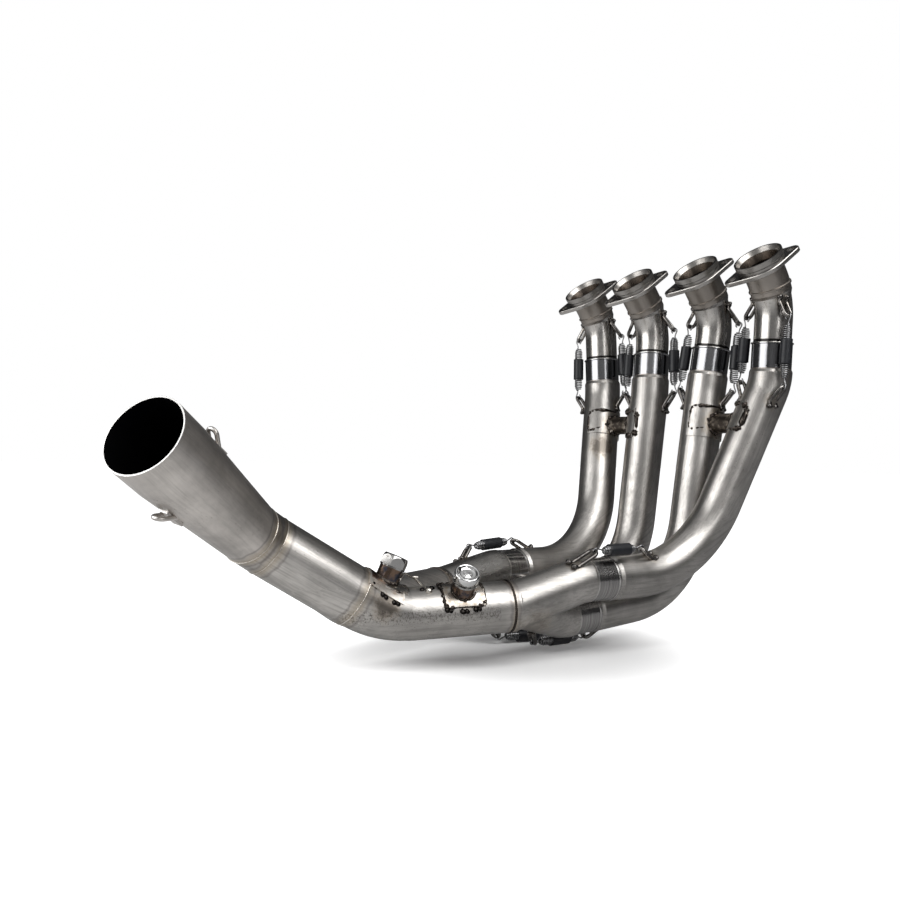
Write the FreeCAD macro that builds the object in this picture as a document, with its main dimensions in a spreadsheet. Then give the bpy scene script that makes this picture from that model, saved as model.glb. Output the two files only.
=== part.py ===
import FreeCAD, Part
import math
import os

import Sketcher
from FreeCAD import Placement, Rotation, Vector

doc = FreeCAD.newDocument("ExhaustHeader")
sheet = doc.addObject("Spreadsheet::Sheet", "Sizes")

# Driving dimensions, in millimetres and degrees.
# Across, forward and height are counted from the middle of the port row.
SIZES = {
    # the row of exhaust ports on the cylinder head
    "pair_pitch": 79.5,
    "middle_pitch": 91.0,
    "port_tilt": 51.6,
    # gas pipes
    "pipe_radius": 21.0,
    "pipe_wall": 1.2,
    "weld_gap": 0.1,
    # turned collar at the head end of each stub
    "collar_radius": 24.3,
    "collar_rim": 5.2,
    "collar_groove_depth": 1.8,
    "collar_groove_width": 1.2,
    "collar_shoulder_radius": 23.4,
    "collar_height": 9.5,
    "collar_mouth_radius": 22.4,
    # stub pipe
    "stub_seat": 4.5,
    "stub_flare_radius": 19.2,
    "stub_flare_end": 12.0,
    "stub_sleeve_radius": 20.0,
    "stub_sleeve_end": 41.0,
    "stub_bead_place": 34.5,
    "stub_bead_width": 3.0,
    "stub_bead_rise": 1.1,
    "stub_step_length": 4.0,
    "stub_pipe_radius": 18.5,
    "outer_stub_reach": 46.0,
    "inner_stub_reach": 58.5,
    "outer_stub_bend": 72.0,
    "inner_stub_bend": 64.0,
    # slip joint between stub and header pipe
    "lip_height": -83.0,
    "slip_gap": 0.1,
    "slip_depth": 22.0,
    "slip_band": 27.0,
    "lip_rise": 1.0,
    "lip_width": 2.2,
    "shoulder_length": 3.0,
    # slip joint between header pipe and twin collector
    "tail_radius": 19.2,
    "tail_depth": 22.0,
    "collector_band": 26.0,
    # flange plates
    "flange_thickness": 4.6,
    "flange_turn": 48.0,
    "flange_middle_radius": 25.8,
    "flange_ear_radius": 8.0,
    "flange_hole_pitch": 62.0,
    "flange_hole_radius": 4.2,
    "flange_clearance": 0.6,
    "flange_edge_chamfer": 0.6,
    # routes of the header pipes
    "outer_knee_across": 120.2,
    "outer_knee_forward": 29.5,
    "outer_knee_height": -123.5,
    "outer_knee_bend": 60.0,
    "outer_heel_across": 79.5,
    "outer_heel_forward": -29.3,
    "outer_heel_height": -318.5,
    "outer_heel_bend": 105.0,
    "outer_joint_across": 68.7,
    "outer_joint_forward": -142.9,
    "outer_joint_height": -319.1,
    "inner_knee_across": 40.5,
    "inner_knee_forward": 26.4,
    "inner_knee_height": -129.5,
    "inner_knee_bend": 80.0,
    "inner_heel_across": 45.0,
    "inner_heel_forward": -5.0,
    "inner_heel_height": -344.2,
    "inner_heel_bend": 96.0,
    "inner_joint_across": 37.0,
    "inner_joint_forward": -136.9,
    "inner_joint_height": -354.6,
    # how far each side leans from a true mirror image at the heel and the lower joint
    "heel_lean_across": 2.6,
    "heel_lean_back": 4.5,
    "heel_lean_rise": 3.5,
    "joint_lean_rise": 2.5,
    # twin collectors
    "twin_outlet_across": 56.4,
    "twin_outlet_forward": -254.5,
    "twin_outlet_height": -336.5,
    "twin_outlet_radius": 23.0,
    "twin_leg_lead": 8.0,
    "twin_leg_bend": 40.0,
    "twin_leg_inset": 0.4,
    "twin_collar_length": 6.0,
    # merge collector
    "merge_bend_across": 24.0,
    "merge_bend_forward": -361.5,
    "merge_bend_height": -340.6,
    "merge_bend_radius": 88.0,
    "merge_ring_place": 34.0,
    "merge_taper": 50.0,
    "merge_inset": 14.0,
    "merged_radius": 26.0,
    # outlet
    "mitre_one_across": 3.0,
    "mitre_one_forward": -462.0,
    "mitre_one_height": -278.0,
    "mitre_two_across": 6.0,
    "mitre_two_forward": -478.0,
    "mitre_two_height": -268.0,
    "mouth_across": 75.0,
    "mouth_forward": -587.5,
    "mouth_height": -191.5,
    "mouth_radius": 32.3,
    "mouth_straight": 34.0,
    "cone_start": 5.0,
    # cross pipes between neighbouring header pipes
    "cross_height": -164.0,
    "cross_radius": 10.4,
    "cross_wall": 1.2,
    "saddle_thickness": 1.2,
    "saddle_length": 33.0,
    # sensor bosses with their washers and plugs
    "boss_one_place": 46.0,
    "boss_one_turn": -37.0,
    "boss_two_place": 122.5,
    "boss_two_turn": -4.0,
    "boss_radius": 10.5,
    "boss_height": 12.5,
    "boss_bore": 8.0,
    "pad_thickness": 1.6,
    "pad_length": 36.0,
    "pad_width": 29.0,
    "washer_radius": 11.3,
    "washer_thickness": 1.6,
    "plug_across_flats": 21.0,
    "plug_head": 9.0,
    "plug_bevel_foot": 14.5,
    "plug_bevel_top": 10.2,
    "plug_recess_radius": 6.0,
    "plug_recess_depth": 5.0,
    "plug_shank": 8.0,
    "plug_gap": 0.1,
    # springs with their hooks and sleeves
    "hook_wire": 1.8,
    "hook_half_gap": 4.5,
    "hook_lean": 16.0,
    "hook_seat": 0.8,
    "port_head_stand_off": 6.8,
    "port_toe_stand_off": 9.0,
    "upper_stand_off": 10.0,
    "lower_stand_off": 12.0,
    "spring_radius": 4.3,
    "spring_wire": 0.8,
    "spring_gap": 0.1,
    "spring_end": 9.0,
    "port_spring_span": 70.0,
    "port_spring_head": 25.0,
    "port_spring_turn": 16.0,
    "first_spring_turn": 33.0,
    "last_spring_turn": -24.0,
    "collector_spring_span": 56.0,
    "collector_spring_head": 5.0,
    "last_collector_spring_head": 31.0,
    "upper_spring_turn": 24.0,
    "lower_spring_turn": 30.0,
    "sleeve_length": 25.0,
    "sleeve_radius": 5.8,
    # eyelets on the outlet
    "eyelet_place": 64.0,
    "eyelet_turn": -14.0,
    "eyelet_reach": 13.0,
    "eyelet_rise": 8.0,
    "eyelet_pad_length": 20.0,
    "eyelet_pad_width": 9.0,
    "eyelet_pad_thickness": 1.6,
}

for row, (name, value) in enumerate(SIZES.items(), start=1):
    sheet.set("A%d" % row, name)
    sheet.set("B%d" % row, str(value))
    sheet.setAlias("B%d" % row, name)
doc.recompute()


def size(name):
    """Read one driving dimension from the sheet."""
    return float(sheet.get(name))


MIDDLE = size("pair_pitch") + size("middle_pitch") / 2
PORTS = {
    1: 0.0,
    2: size("pair_pitch"),
    3: size("pair_pitch") + size("middle_pitch"),
    4: 2 * size("pair_pitch") + size("middle_pitch"),
}
SIDE = {1: -1, 2: -1, 3: 1, 4: 1}
ROW_PLACE = {1: "outer", 2: "inner", 3: "inner", 4: "outer"}
NEIGHBOUR = {1: 2, 2: 1, 3: 4, 4: 3}
ACROSS = Vector(1, 0, 0)
UP = Vector(0, 0, 1)
TILT = math.radians(size("port_tilt"))
PORT_AXIS = Vector(0, math.cos(TILT), -math.sin(TILT))
PORT_RISE = Vector(0, math.sin(TILT), math.cos(TILT))


# directions and simple solids

def unit(vector):
    """The vector at length one."""
    return vector * (1.0 / vector.Length)


def turned(vector, axis, angle):
    """The vector turned about an axis, in degrees."""
    return Rotation(axis, angle).multVec(vector)


def square_to(vector, direction):
    """The part of a vector that is square to a direction, at length one."""
    return unit(vector - direction * vector.dot(direction))


def upright(centre, direction, aside):
    """Placement whose Z follows the direction and whose X is as near to aside as it can be."""
    flat = square_to(aside, direction)
    return Placement(centre, Rotation(flat, direction.cross(flat), direction, "ZXY"))


def ring(centre, direction, radius):
    """A circle around a direction."""
    return Part.Wire([Part.Circle(centre, direction, radius).toShape()])


def bar(centre, direction, length, radius):
    """A straight round bar."""
    return Part.makeCylinder(radius, length, centre, direction)


def block(centre, direction, aside, width, depth, height):
    """A box that stands on a centre point along a direction."""
    solid = Part.makeBox(width, depth, height, Vector(-width / 2, -depth / 2, 0))
    solid.Placement = upright(centre, direction, aside)
    return solid


def beyond(point, direction):
    """Everything near a point on the far side of a plane through it."""
    reach = 8 * size("mouth_radius")
    aside = ACROSS if abs(direction.x) < 0.9 else UP
    return block(point, direction, aside, reach, reach, reach)


def joined(shapes):
    """Several solids as one, with no seams left between them."""
    whole = shapes[0]
    if len(shapes) > 1:
        whole = whole.fuse(shapes[1:])
    return whole.removeSplitter()


# routes: straight runs joined by tangent arcs

class Route:
    """A pipe's centre line through a list of corners, each rounded by an arc."""

    def __init__(self, corners, bends):
        self.pieces = []
        self.length = 0.0
        start = corners[0]
        for before, corner, after, bend in zip(corners, corners[1:], corners[2:], bends):
            inward = unit(corner - before)
            outward = unit(after - corner)
            turn = inward.getAngle(outward)
            if turn < 1e-6:
                continue
            setback = bend * math.tan(turn / 2)
            first = corner - inward * setback
            axis = unit(inward.cross(outward))
            self.add_run(start, first)
            self.add_arc(first, inward, axis, bend, turn)
            start = corner + outward * setback
        self.add_run(start, corners[-1])

    def add_run(self, first, last):
        """Add a straight piece."""
        run = (last - first).Length
        if run < 1e-6:
            return
        self.pieces.append(("run", self.length, run, first, unit(last - first), None, 0.0))
        self.length += run

    def add_arc(self, first, tangent, axis, bend, turn):
        """Add an arc that leaves along the tangent and turns about the axis."""
        centre = first + axis.cross(tangent) * bend
        self.pieces.append(("arc", self.length, bend * turn, first, tangent, (centre, axis), bend))
        self.length += bend * turn

    def last_run(self):
        """Distance at which the last straight piece begins."""
        return self.pieces[-1][1]

    def piece_at(self, distance):
        """The piece that holds a distance along the route."""
        for piece in self.pieces:
            if distance < piece[1] + piece[2]:
                return piece
        return self.pieces[-1]

    def at(self, distance):
        """Point and direction at a distance along the route; the ends carry on straight."""
        kind, begin, run, first, tangent, arc, bend = self.piece_at(distance)
        ahead = distance - begin
        if kind == "run" or ahead < 0:
            return first + tangent * ahead, tangent
        centre, axis = arc
        angle = math.degrees(min(ahead, run) / bend)
        point = centre + turned(first - centre, axis, angle)
        direction = turned(tangent, axis, angle)
        return point + direction * max(0.0, ahead - run), direction

    def wire(self, begin, end):
        """The stretch of the centre line between two distances."""
        marks = [begin]
        marks += [p[1] for p in self.pieces if begin + 1e-4 < p[1] < end - 1e-4]
        marks.append(end)
        edges = []
        for low, high in zip(marks, marks[1:]):
            kind = self.piece_at((low + high) / 2)[0]
            first, last = self.at(low)[0], self.at(high)[0]
            if kind == "run":
                edges.append(Part.LineSegment(first, last).toShape())
            else:
                edges.append(Part.Arc(first, self.at((low + high) / 2)[0], last).toShape())
        return Part.Wire(edges)

    def solid(self, begin, end, radius, end_radius):
        """A round bar along a stretch; the radius may change evenly."""
        first, direction = self.at(begin)
        rings = [ring(first, direction, radius)]
        if abs(end_radius - radius) > 1e-6:
            last, last_direction = self.at(end)
            rings.append(ring(last, last_direction, end_radius))
        return self.wire(begin, end).makePipeShell(rings, True, False)

    def shape(self, profile, extra=0.0):
        """A bar whose radius follows a list of distance and radius pairs, grown by an extra."""
        bars = []
        for (low, radius), (high, end_radius) in zip(profile, profile[1:]):
            if high - low > 1e-6:
                bars.append(self.solid(low, high, radius + extra, end_radius + extra))
        return joined(bars)


# pieces as objects of the document

PIECES = []


def keep(piece, label, placement=Placement()):
    """Name a finished piece, set it in place and list it."""
    piece.Label = label
    piece.Placement = placement
    PIECES.append(piece)
    return piece


def add_shape(label, shape, placement=Placement()):
    """Keep a piece whose shape is made here from the sheet's sizes."""
    piece = doc.addObject("Part::Feature", label)
    piece.Shape = shape
    return keep(piece, label, placement)


def primitive(kind, name, bindings):
    """A simple solid whose properties are bound to the sheet."""
    item = doc.addObject(kind, name)
    for prop, text in bindings.items():
        item.setExpression(prop, text)
    return item


def boolean(kind, name, base, tool):
    """Two solids combined."""
    item = doc.addObject(kind, name)
    item.Base = base
    item.Tool = tool
    return item


def tube_object(name, length, radius, bore):
    """A straight tube along Z, from three expressions of the sheet."""
    outside = primitive("Part::Cylinder", name + "_outside", {"Radius": radius, "Height": length})
    inside = primitive("Part::Cylinder", name + "_inside", {"Radius": bore, "Height": length})
    return boolean("Part::Cut", name, outside, inside)


def body_object(name):
    """An empty body."""
    return doc.addObject("PartDesign::Body", name)


def plane_sketch(body, name, role):
    """An empty sketch on one of the body's own planes."""
    sketch = body.newObject("Sketcher::SketchObject", name)
    plane = [p for p in body.Origin.OriginFeatures if p.Role == role][0]
    sketch.AttachmentSupport = [(plane, "")]
    sketch.MapMode = "FlatFace"
    return sketch


def bind(sketch, constraint, text):
    """Add a dimension to a sketch and bind it to the sheet."""
    index = sketch.addConstraint(constraint)
    sketch.setExpression("Constraints[%d]" % index, text)


def amount(text):
    """Value of a sum of named sizes, written with words and signs."""
    total = 0.0
    sign = 1
    for word in text.split():
        if word in ("+", "-"):
            sign = 1 if word == "+" else -1
        else:
            total += sign * size(word)
    return total


def cells(text):
    """The same sum as an expression of the sheet's cells."""
    return " ".join(word if word in ("+", "-") else "Sizes." + word for word in text.split())


def outline_sketch(body, name, role, corners):
    """A closed outline whose corners are sums of named sizes; an empty sum lies on the axis."""
    sketch = plane_sketch(body, name, role)
    points = [Vector(amount(x), amount(y), 0) for x, y in corners]
    count = len(points)
    for k in range(count):
        sketch.addGeometry(Part.LineSegment(points[k], points[(k + 1) % count]), False)
    for k in range(count):
        sketch.addConstraint(Sketcher.Constraint("Coincident", k, 2, (k + 1) % count, 1))
    for k, (x, y) in enumerate(corners):
        for text, kind, axis, value in ((x, "DistanceX", -2, points[k].x), (y, "DistanceY", -1, points[k].y)):
            if text:
                bind(sketch, Sketcher.Constraint(kind, -1, 1, k, 1, value), cells(text))
            else:
                sketch.addConstraint(Sketcher.Constraint("PointOnObject", k, 1, axis))
    return sketch


# routes of the stubs, header pipes and collectors

def place(name, side, row=None):
    """A named corner of a route, on the given side of the middle of the port row."""
    prefix = name if row is None else row + "_" + name
    point = Vector(size(prefix + "_across") * side, size(prefix + "_forward"), size(prefix + "_height"))
    if name == "heel":
        point += Vector(-size("heel_lean_across"), -size("heel_lean_back"), size("heel_lean_rise")) * side
    if name == "joint":
        point += Vector(0, 0, size("joint_lean_rise")) * side
    return point + ACROSS * MIDDLE


def stub_route(number):
    """From the port, forward and down, then straight into the slip joint."""
    port = Vector(PORTS[number], 0, 0)
    row = ROW_PLACE[number]
    apex = port + PORT_AXIS * size(row + "_stub_reach")
    knee = place("knee", SIDE[number], row)
    return Route([port, apex, knee], [size(row + "_stub_bend")])


def lip_distance(route):
    """Distance along a stub at which its slip joint's lip stands."""
    last_point, direction = route.at(route.length)
    return route.length - (size("lip_height") - last_point.z) / -direction.z


def header_route(number):
    """From the upper slip joint down to the lower one and its tail."""
    stub = stub_route(number)
    lip, _ = stub.at(lip_distance(stub))
    row = ROW_PLACE[number]
    side = SIDE[number]
    joint = place("joint", side, row)
    heel = place("heel", side, row)
    tail = joint + unit(joint - heel) * size("tail_depth")
    bends = [size(row + "_knee_bend"), size(row + "_heel_bend")]
    return Route([lip, place("knee", side, row), heel, tail], bends)


STUBS = {number: stub_route(number) for number in PORTS}
HEADERS = {number: header_route(number) for number in PORTS}


def lower_joint(number):
    """Point and direction of a header pipe at the lip of its lower joint."""
    return HEADERS[number].at(HEADERS[number].length - size("tail_depth"))


def twin_outlet(side):
    """Centre and direction of a twin collector's outlet."""
    outlet = place("twin_outlet", side)
    return outlet, unit(place("merge_bend", side) - outlet)


def twin_leg_route(number):
    """From a header pipe's lower joint to the outlet collar of the twin collector, and past it."""
    lip, direction = lower_joint(number)
    outlet, outward = twin_outlet(SIDE[number])
    corner = lip + direction * (size("collector_band") + size("twin_leg_lead"))
    target = outlet - outward * size("twin_collar_length")
    past = target + unit(target - corner) * size("twin_outlet_radius")
    return Route([lip, corner, past], [size("twin_leg_bend")])


def merge_leg_route(side):
    """From a twin collector's outlet round the bend and up to the first mitre."""
    outlet, _ = twin_outlet(side)
    bend = place("merge_bend", side)
    mitre = place("mitre_one", 1)
    if side < 0:
        mitre -= unit(mitre - place("merge_bend", 1)) * size("merge_inset")
    return Route([outlet, bend, mitre], [size("merge_bend_radius")])


MERGE_LEGS = {side: merge_leg_route(side) for side in (1, -1)}


# hooks, springs and sleeves

def hook_shape(foot, crown, along):
    """A bent wire staple: two legs that leave the pipe and meet in a half round."""
    half = size("hook_half_gap")
    climb = unit(crown - foot)
    aside = unit(climb.cross(along))
    feet = [foot + aside * half, foot - aside * half]
    knees = [crown - climb * half + aside * half, crown - climb * half - aside * half]
    edges = [Part.LineSegment(feet[0], knees[0]).toShape(),
             Part.Arc(knees[0], crown, knees[1]).toShape(),
             Part.LineSegment(knees[1], feet[1]).toShape()]
    return Part.Wire(edges).makePipeShell([ring(feet[0], climb, size("hook_wire"))], True, False)


class SpringSeat:
    """One spring beside a slip joint: it pulls on a hook on each of the two pipes."""

    def __init__(self, outward, head, toe):
        self.outward = outward
        self.ends = {-1: head, 1: toe}
        crowns = {sign: self.crown(sign) for sign in (-1, 1)}
        self.middle = (crowns[-1] + crowns[1]) * 0.5
        self.along = unit(crowns[1] - crowns[-1])
        self.span = (crowns[1] - crowns[-1]).Length

    def away(self, route, distance):
        """Point of a route, and the way out from it towards the spring."""
        point, direction = route.at(distance)
        return point, square_to(self.outward, direction)

    def crown(self, sign):
        """Middle of the hook's wire where the spring pulls on it."""
        route, distance, stand_off = self.ends[sign]
        point, away = self.away(route, distance)
        return point + away * (size("pipe_radius") + stand_off)

    def hook(self, sign, radius):
        """The staple at one end, with its feet on a pipe of the given radius."""
        route, distance, _ = self.ends[sign]
        point, away = self.away(route, distance + sign * size("hook_lean"))
        return hook_shape(point + away * (radius - size("hook_seat")), self.crown(sign), self.along)

    def place_from(self, back):
        """Placement along the spring, starting a distance back from its middle."""
        return upright(self.middle - self.along * back, self.along, self.outward)


def spring_shape(span):
    """Coil along Z, with a wire at each end that turns over the hook on the X side."""
    half = span / 2 - size("spring_end")
    radius = size("spring_radius")
    wire = size("spring_wire")
    coil = bar(-UP * half, UP, 2 * half, radius).cut(bar(-UP * half, UP, 2 * half, radius - 2 * wire))
    reach = size("hook_wire") + wire + size("spring_gap")
    parts = [coil]
    for sign in (-1, 1):
        crown = UP * sign * span / 2
        root = UP * sign * (half - wire) + ACROSS * (radius - wire)
        over = crown + ACROSS * reach + UP * sign * reach
        tip = crown - ACROSS * size("hook_wire") + UP * sign * reach
        route = Route([root, over, tip], [reach - wire / 2])
        parts.append(route.solid(0, route.length, wire, wire))
    return joined(parts)


def port_spring_seats(number):
    """The two springs that hold a stub and its header pipe together."""
    stub, header = STUBS[number], HEADERS[number]
    head = (stub, lip_distance(stub) - size("port_spring_head"), size("port_head_stand_off"))
    toe = (header, size("port_spring_span") - size("port_spring_head"), size("port_toe_stand_off"))
    turns = {-1: size("port_spring_turn"), 1: size("port_spring_turn")}
    if number == min(PORTS):
        turns[-1] = size("first_spring_turn")
    if number == max(PORTS):
        turns[1] = size("last_spring_turn")
    return [SpringSeat(turned(ACROSS * sign, UP, turns[sign]), head, toe) for sign in (-1, 1)]


def collector_spring_seat(number):
    """The spring over a lower joint: above the upper pipe, below the lower pipe."""
    header = HEADERS[number]
    last = number == max(PORTS)
    ahead = size("last_collector_spring_head") if last else size("collector_spring_head")
    upper = ROW_PLACE[number] == "outer"
    stand_off = size("upper_stand_off") if upper else size("lower_stand_off")
    head = (header, header.length - size("tail_depth") - ahead, stand_off)
    toe = (twin_leg_route(number), size("collector_spring_span") - ahead, stand_off)
    _, direction = lower_joint(number)
    if upper:
        outward = turned(UP, direction, -size("upper_spring_turn") * SIDE[number])
    else:
        outward = turned(-UP, direction, -size("lower_spring_turn") * SIDE[number])
    return SpringSeat(outward, head, toe)


PORT_SEATS = {number: port_spring_seats(number) for number in PORTS}
COLLECTOR_SEATS = {number: collector_spring_seat(number) for number in PORTS}


# turned collars

def collar_body(number):
    """The ring that seats in the cylinder head, turned from its half section."""
    body = body_object("CollarBody%d" % number)
    groove = "collar_radius - collar_groove_depth"
    groove_end = "collar_rim + collar_groove_width"
    neck = "stub_sleeve_radius + slip_gap"
    sketch = outline_sketch(body, "CollarSection%d" % number, "XZ_Plane", [
        ("collar_mouth_radius", ""), ("collar_radius", ""), ("collar_radius", "collar_rim"),
        (groove, "collar_rim"), (groove, groove_end), ("collar_shoulder_radius", groove_end),
        ("collar_shoulder_radius", "collar_height"), (neck, "collar_height"), (neck, "stub_seat")])
    revolution = body.newObject("PartDesign::Revolution", "CollarRing%d" % number)
    revolution.Profile = sketch
    revolution.ReferenceAxis = (sketch, ["V_Axis"])
    revolution.Angle = 360
    body.Tip = revolution
    return body


# flange plates

def flange_outline(sketch):
    """A round middle and two round ears, joined by tangent lines."""
    middle = size("flange_middle_radius")
    ear = size("flange_ear_radius")
    reach = size("flange_hole_pitch") / 2
    lean = math.acos((middle - ear) / reach)
    right, left = Vector(reach, 0, 0), Vector(-reach, 0, 0)
    arcs = [(right, ear, -lean, lean), (Vector(), middle, lean, math.pi - lean),
            (left, ear, math.pi - lean, math.pi + lean), (Vector(), middle, math.pi + lean, -lean)]
    for centre, radius, begin, end in arcs:
        sketch.addGeometry(Part.ArcOfCircle(Part.Circle(centre, UP, radius), begin, end), False)
    ends = [(0, 2, 1, 1), (1, 2, 2, 1), (2, 2, 3, 1), (3, 2, 0, 1)]
    for turn, side in ((lean, right), (math.pi - lean, left), (math.pi + lean, left), (-lean, right)):
        away = Vector(math.cos(turn), math.sin(turn), 0)
        near, far = side + away * ear, away * middle
        if math.sin(2 * turn) < 0:
            near, far = far, near
        sketch.addGeometry(Part.LineSegment(near, far), False)
    for line, (arc, arc_end, after, after_start) in enumerate(ends, start=4):
        sketch.addConstraint(Sketcher.Constraint("Tangent", arc, arc_end, line, 1))
        sketch.addConstraint(Sketcher.Constraint("Tangent", line, 2, after, after_start))
    for arc in (1, 3):
        sketch.addConstraint(Sketcher.Constraint("Coincident", arc, 3, -1, 1))
    sketch.addConstraint(Sketcher.Constraint("PointOnObject", 0, 3, -1))
    sketch.addConstraint(Sketcher.Constraint("Symmetric", 0, 3, 2, 3, -1, 1))
    sketch.addConstraint(Sketcher.Constraint("Equal", 0, 2))
    sketch.addConstraint(Sketcher.Constraint("Equal", 1, 3))
    bind(sketch, Sketcher.Constraint("Radius", 0, ear), "Sizes.flange_ear_radius")
    bind(sketch, Sketcher.Constraint("Radius", 1, middle), "Sizes.flange_middle_radius")
    bind(sketch, Sketcher.Constraint("DistanceX", 2, 3, 0, 3, 2 * reach), "Sizes.flange_hole_pitch")


def flange_holes(sketch):
    """The hole for the stub and the two bolt holes."""
    neck = size("stub_sleeve_radius") + size("flange_clearance")
    reach = size("flange_hole_pitch") / 2
    hole = size("flange_hole_radius")
    sketch.addGeometry(Part.Circle(Vector(), UP, neck), False)
    sketch.addGeometry(Part.Circle(Vector(reach, 0, 0), UP, hole), False)
    sketch.addGeometry(Part.Circle(Vector(-reach, 0, 0), UP, hole), False)
    sketch.addConstraint(Sketcher.Constraint("Coincident", 0, 3, -1, 1))
    sketch.addConstraint(Sketcher.Constraint("PointOnObject", 1, 3, -1))
    sketch.addConstraint(Sketcher.Constraint("Symmetric", 1, 3, 2, 3, -1, 1))
    sketch.addConstraint(Sketcher.Constraint("Equal", 1, 2))
    bind(sketch, Sketcher.Constraint("Radius", 0, neck), "Sizes.stub_sleeve_radius + Sizes.flange_clearance")
    bind(sketch, Sketcher.Constraint("Radius", 1, hole), "Sizes.flange_hole_radius")
    bind(sketch, Sketcher.Constraint("DistanceX", 2, 3, 1, 3, 2 * reach), "Sizes.flange_hole_pitch")


def flange_body(number):
    """Loose two-bolt plate behind a stub's collar."""
    body = body_object("FlangeBody%d" % number)
    outline = plane_sketch(body, "FlangeOutline%d" % number, "XY_Plane")
    flange_outline(outline)
    plate = body.newObject("PartDesign::Pad", "FlangePlate%d" % number)
    plate.Profile = outline
    plate.setExpression("Length", "Sizes.flange_thickness")
    openings = plane_sketch(body, "FlangeHoles%d" % number, "XY_Plane")
    flange_holes(openings)
    doc.recompute()
    pocket = body.newObject("PartDesign::Pocket", "FlangeOpenings%d" % number)
    pocket.Profile = openings
    pocket.Type = "ThroughAll"
    pocket.Reversed = True
    doc.recompute()
    if pocket.Shape.Volume > plate.Shape.Volume * 0.9:
        raise RuntimeError("the flange's openings cut nothing")
    outer = ["Edge%d" % k for k, edge in enumerate(pocket.Shape.Edges, start=1)
             if edge.BoundBox.ZLength < 1e-6 and not edge.isClosed()]
    bevel = body.newObject("PartDesign::Chamfer", "FlangeBevel%d" % number)
    bevel.Base = (pocket, outer)
    bevel.setExpression("Size", "Sizes.flange_edge_chamfer")
    body.Tip = bevel
    return body


def flange_placement(number):
    """Flat against the collar's shoulder, with its ears turned about the port axis."""
    seat = Vector(PORTS[number], 0, 0) + PORT_AXIS * size("collar_height")
    turn = math.radians(size("flange_turn"))
    return upright(seat, PORT_AXIS, ACROSS * math.cos(turn) + PORT_RISE * math.sin(turn))


# stubs

def stub_shape(number):
    """Sleeve with its bead, then the bent pipe that enters the slip joint."""
    route = STUBS[number]
    end = lip_distance(route) + size("slip_depth")
    seat = size("stub_seat")
    sleeve = size("stub_sleeve_radius")
    bead = size("stub_bead_place")
    half = size("stub_bead_width") / 2
    crest = sleeve + size("stub_bead_rise")
    step = size("stub_sleeve_end")
    pipe = size("stub_pipe_radius")
    outside = route.shape([
        (seat, sleeve), (bead - half, sleeve), (bead - half / 2, crest), (bead + half / 2, crest),
        (bead + half, sleeve), (step, sleeve), (step + size("stub_step_length"), pipe), (end, pipe)])
    bore = pipe - size("pipe_wall")
    inside = route.shape([(seat, size("stub_flare_radius")), (size("stub_flare_end"), bore), (end, bore)])
    hooks = [spring.hook(-1, pipe) for spring in PORT_SEATS[number]]
    return joined([outside] + hooks).cut(inside)


# header pipes with their slip sockets

def header_shape(number):
    """Slip socket with its lip, bent pipe and the reduced tail for the lower joint."""
    route = HEADERS[number]
    pipe = size("pipe_radius")
    wall = size("pipe_wall")
    socket = size("stub_pipe_radius") + size("slip_gap")
    band = size("slip_band")
    shoulder = size("shoulder_length")
    tail = size("tail_radius")
    lip = size("lip_width")
    joint = route.length - size("tail_depth") - lip
    crest = socket + wall + size("lip_rise")
    outside = route.shape([
        (0, socket + wall), (lip / 3, crest), (lip * 2 / 3, crest), (lip, socket + wall),
        (band, socket + wall), (band + shoulder, pipe), (joint - shoulder, pipe), (joint, tail),
        (route.length, tail)])
    inside = route.shape([
        (0, socket), (band, socket), (band + shoulder, pipe - wall), (joint - shoulder, pipe - wall),
        (joint, tail - wall), (route.length, tail - wall)])
    hooks = [spring.hook(1, pipe) for spring in PORT_SEATS[number]]
    hooks.append(COLLECTOR_SEATS[number].hook(-1, pipe))
    here, _ = cross_point(number)
    there, _ = cross_point(NEIGHBOUR[number])
    window = bar(here, unit(there - here), (there - here).Length / 2, size("cross_radius") - size("cross_wall"))
    return joined([outside] + hooks).cut(inside).cut(window)


# cross pipes between the first and second and the third and fourth header pipes

def cross_point(number):
    """Point and direction of a header pipe at the height of the cross pipes."""
    route = HEADERS[number]
    low = size("slip_band")
    high = route.length / 2
    for _ in range(40):
        middle = (low + high) / 2
        if route.at(middle)[0].z > size("cross_height"):
            low = middle
        else:
            high = middle
    return route.at(low)


def cross_shape(first, second):
    """Short pipe with a half-round saddle plate welded to each header pipe."""
    skin = size("pipe_radius") + size("weld_gap")
    plate = skin + size("saddle_thickness")
    length = size("saddle_length")
    start, start_along = cross_point(first)
    finish, finish_along = cross_point(second)
    axis = unit(finish - start)
    span = (finish - start).Length
    saddles = []
    cores = []
    for centre, along, facing in ((start, start_along, axis), (finish, finish_along, -axis)):
        shell = bar(centre - along * length / 2, along, length, plate)
        front = square_to(facing, along)
        saddles.append(shell.common(block(centre, front, along, 2 * length, 2 * plate, plate)))
        cores.append(bar(centre - along * span, along, 2 * span, skin))
    body = joined([bar(start, axis, span, size("cross_radius"))] + saddles)
    for core in cores:
        body = body.cut(core)
    return body.cut(bar(start, axis, span, size("cross_radius") - size("cross_wall")))


# twin collectors

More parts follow.
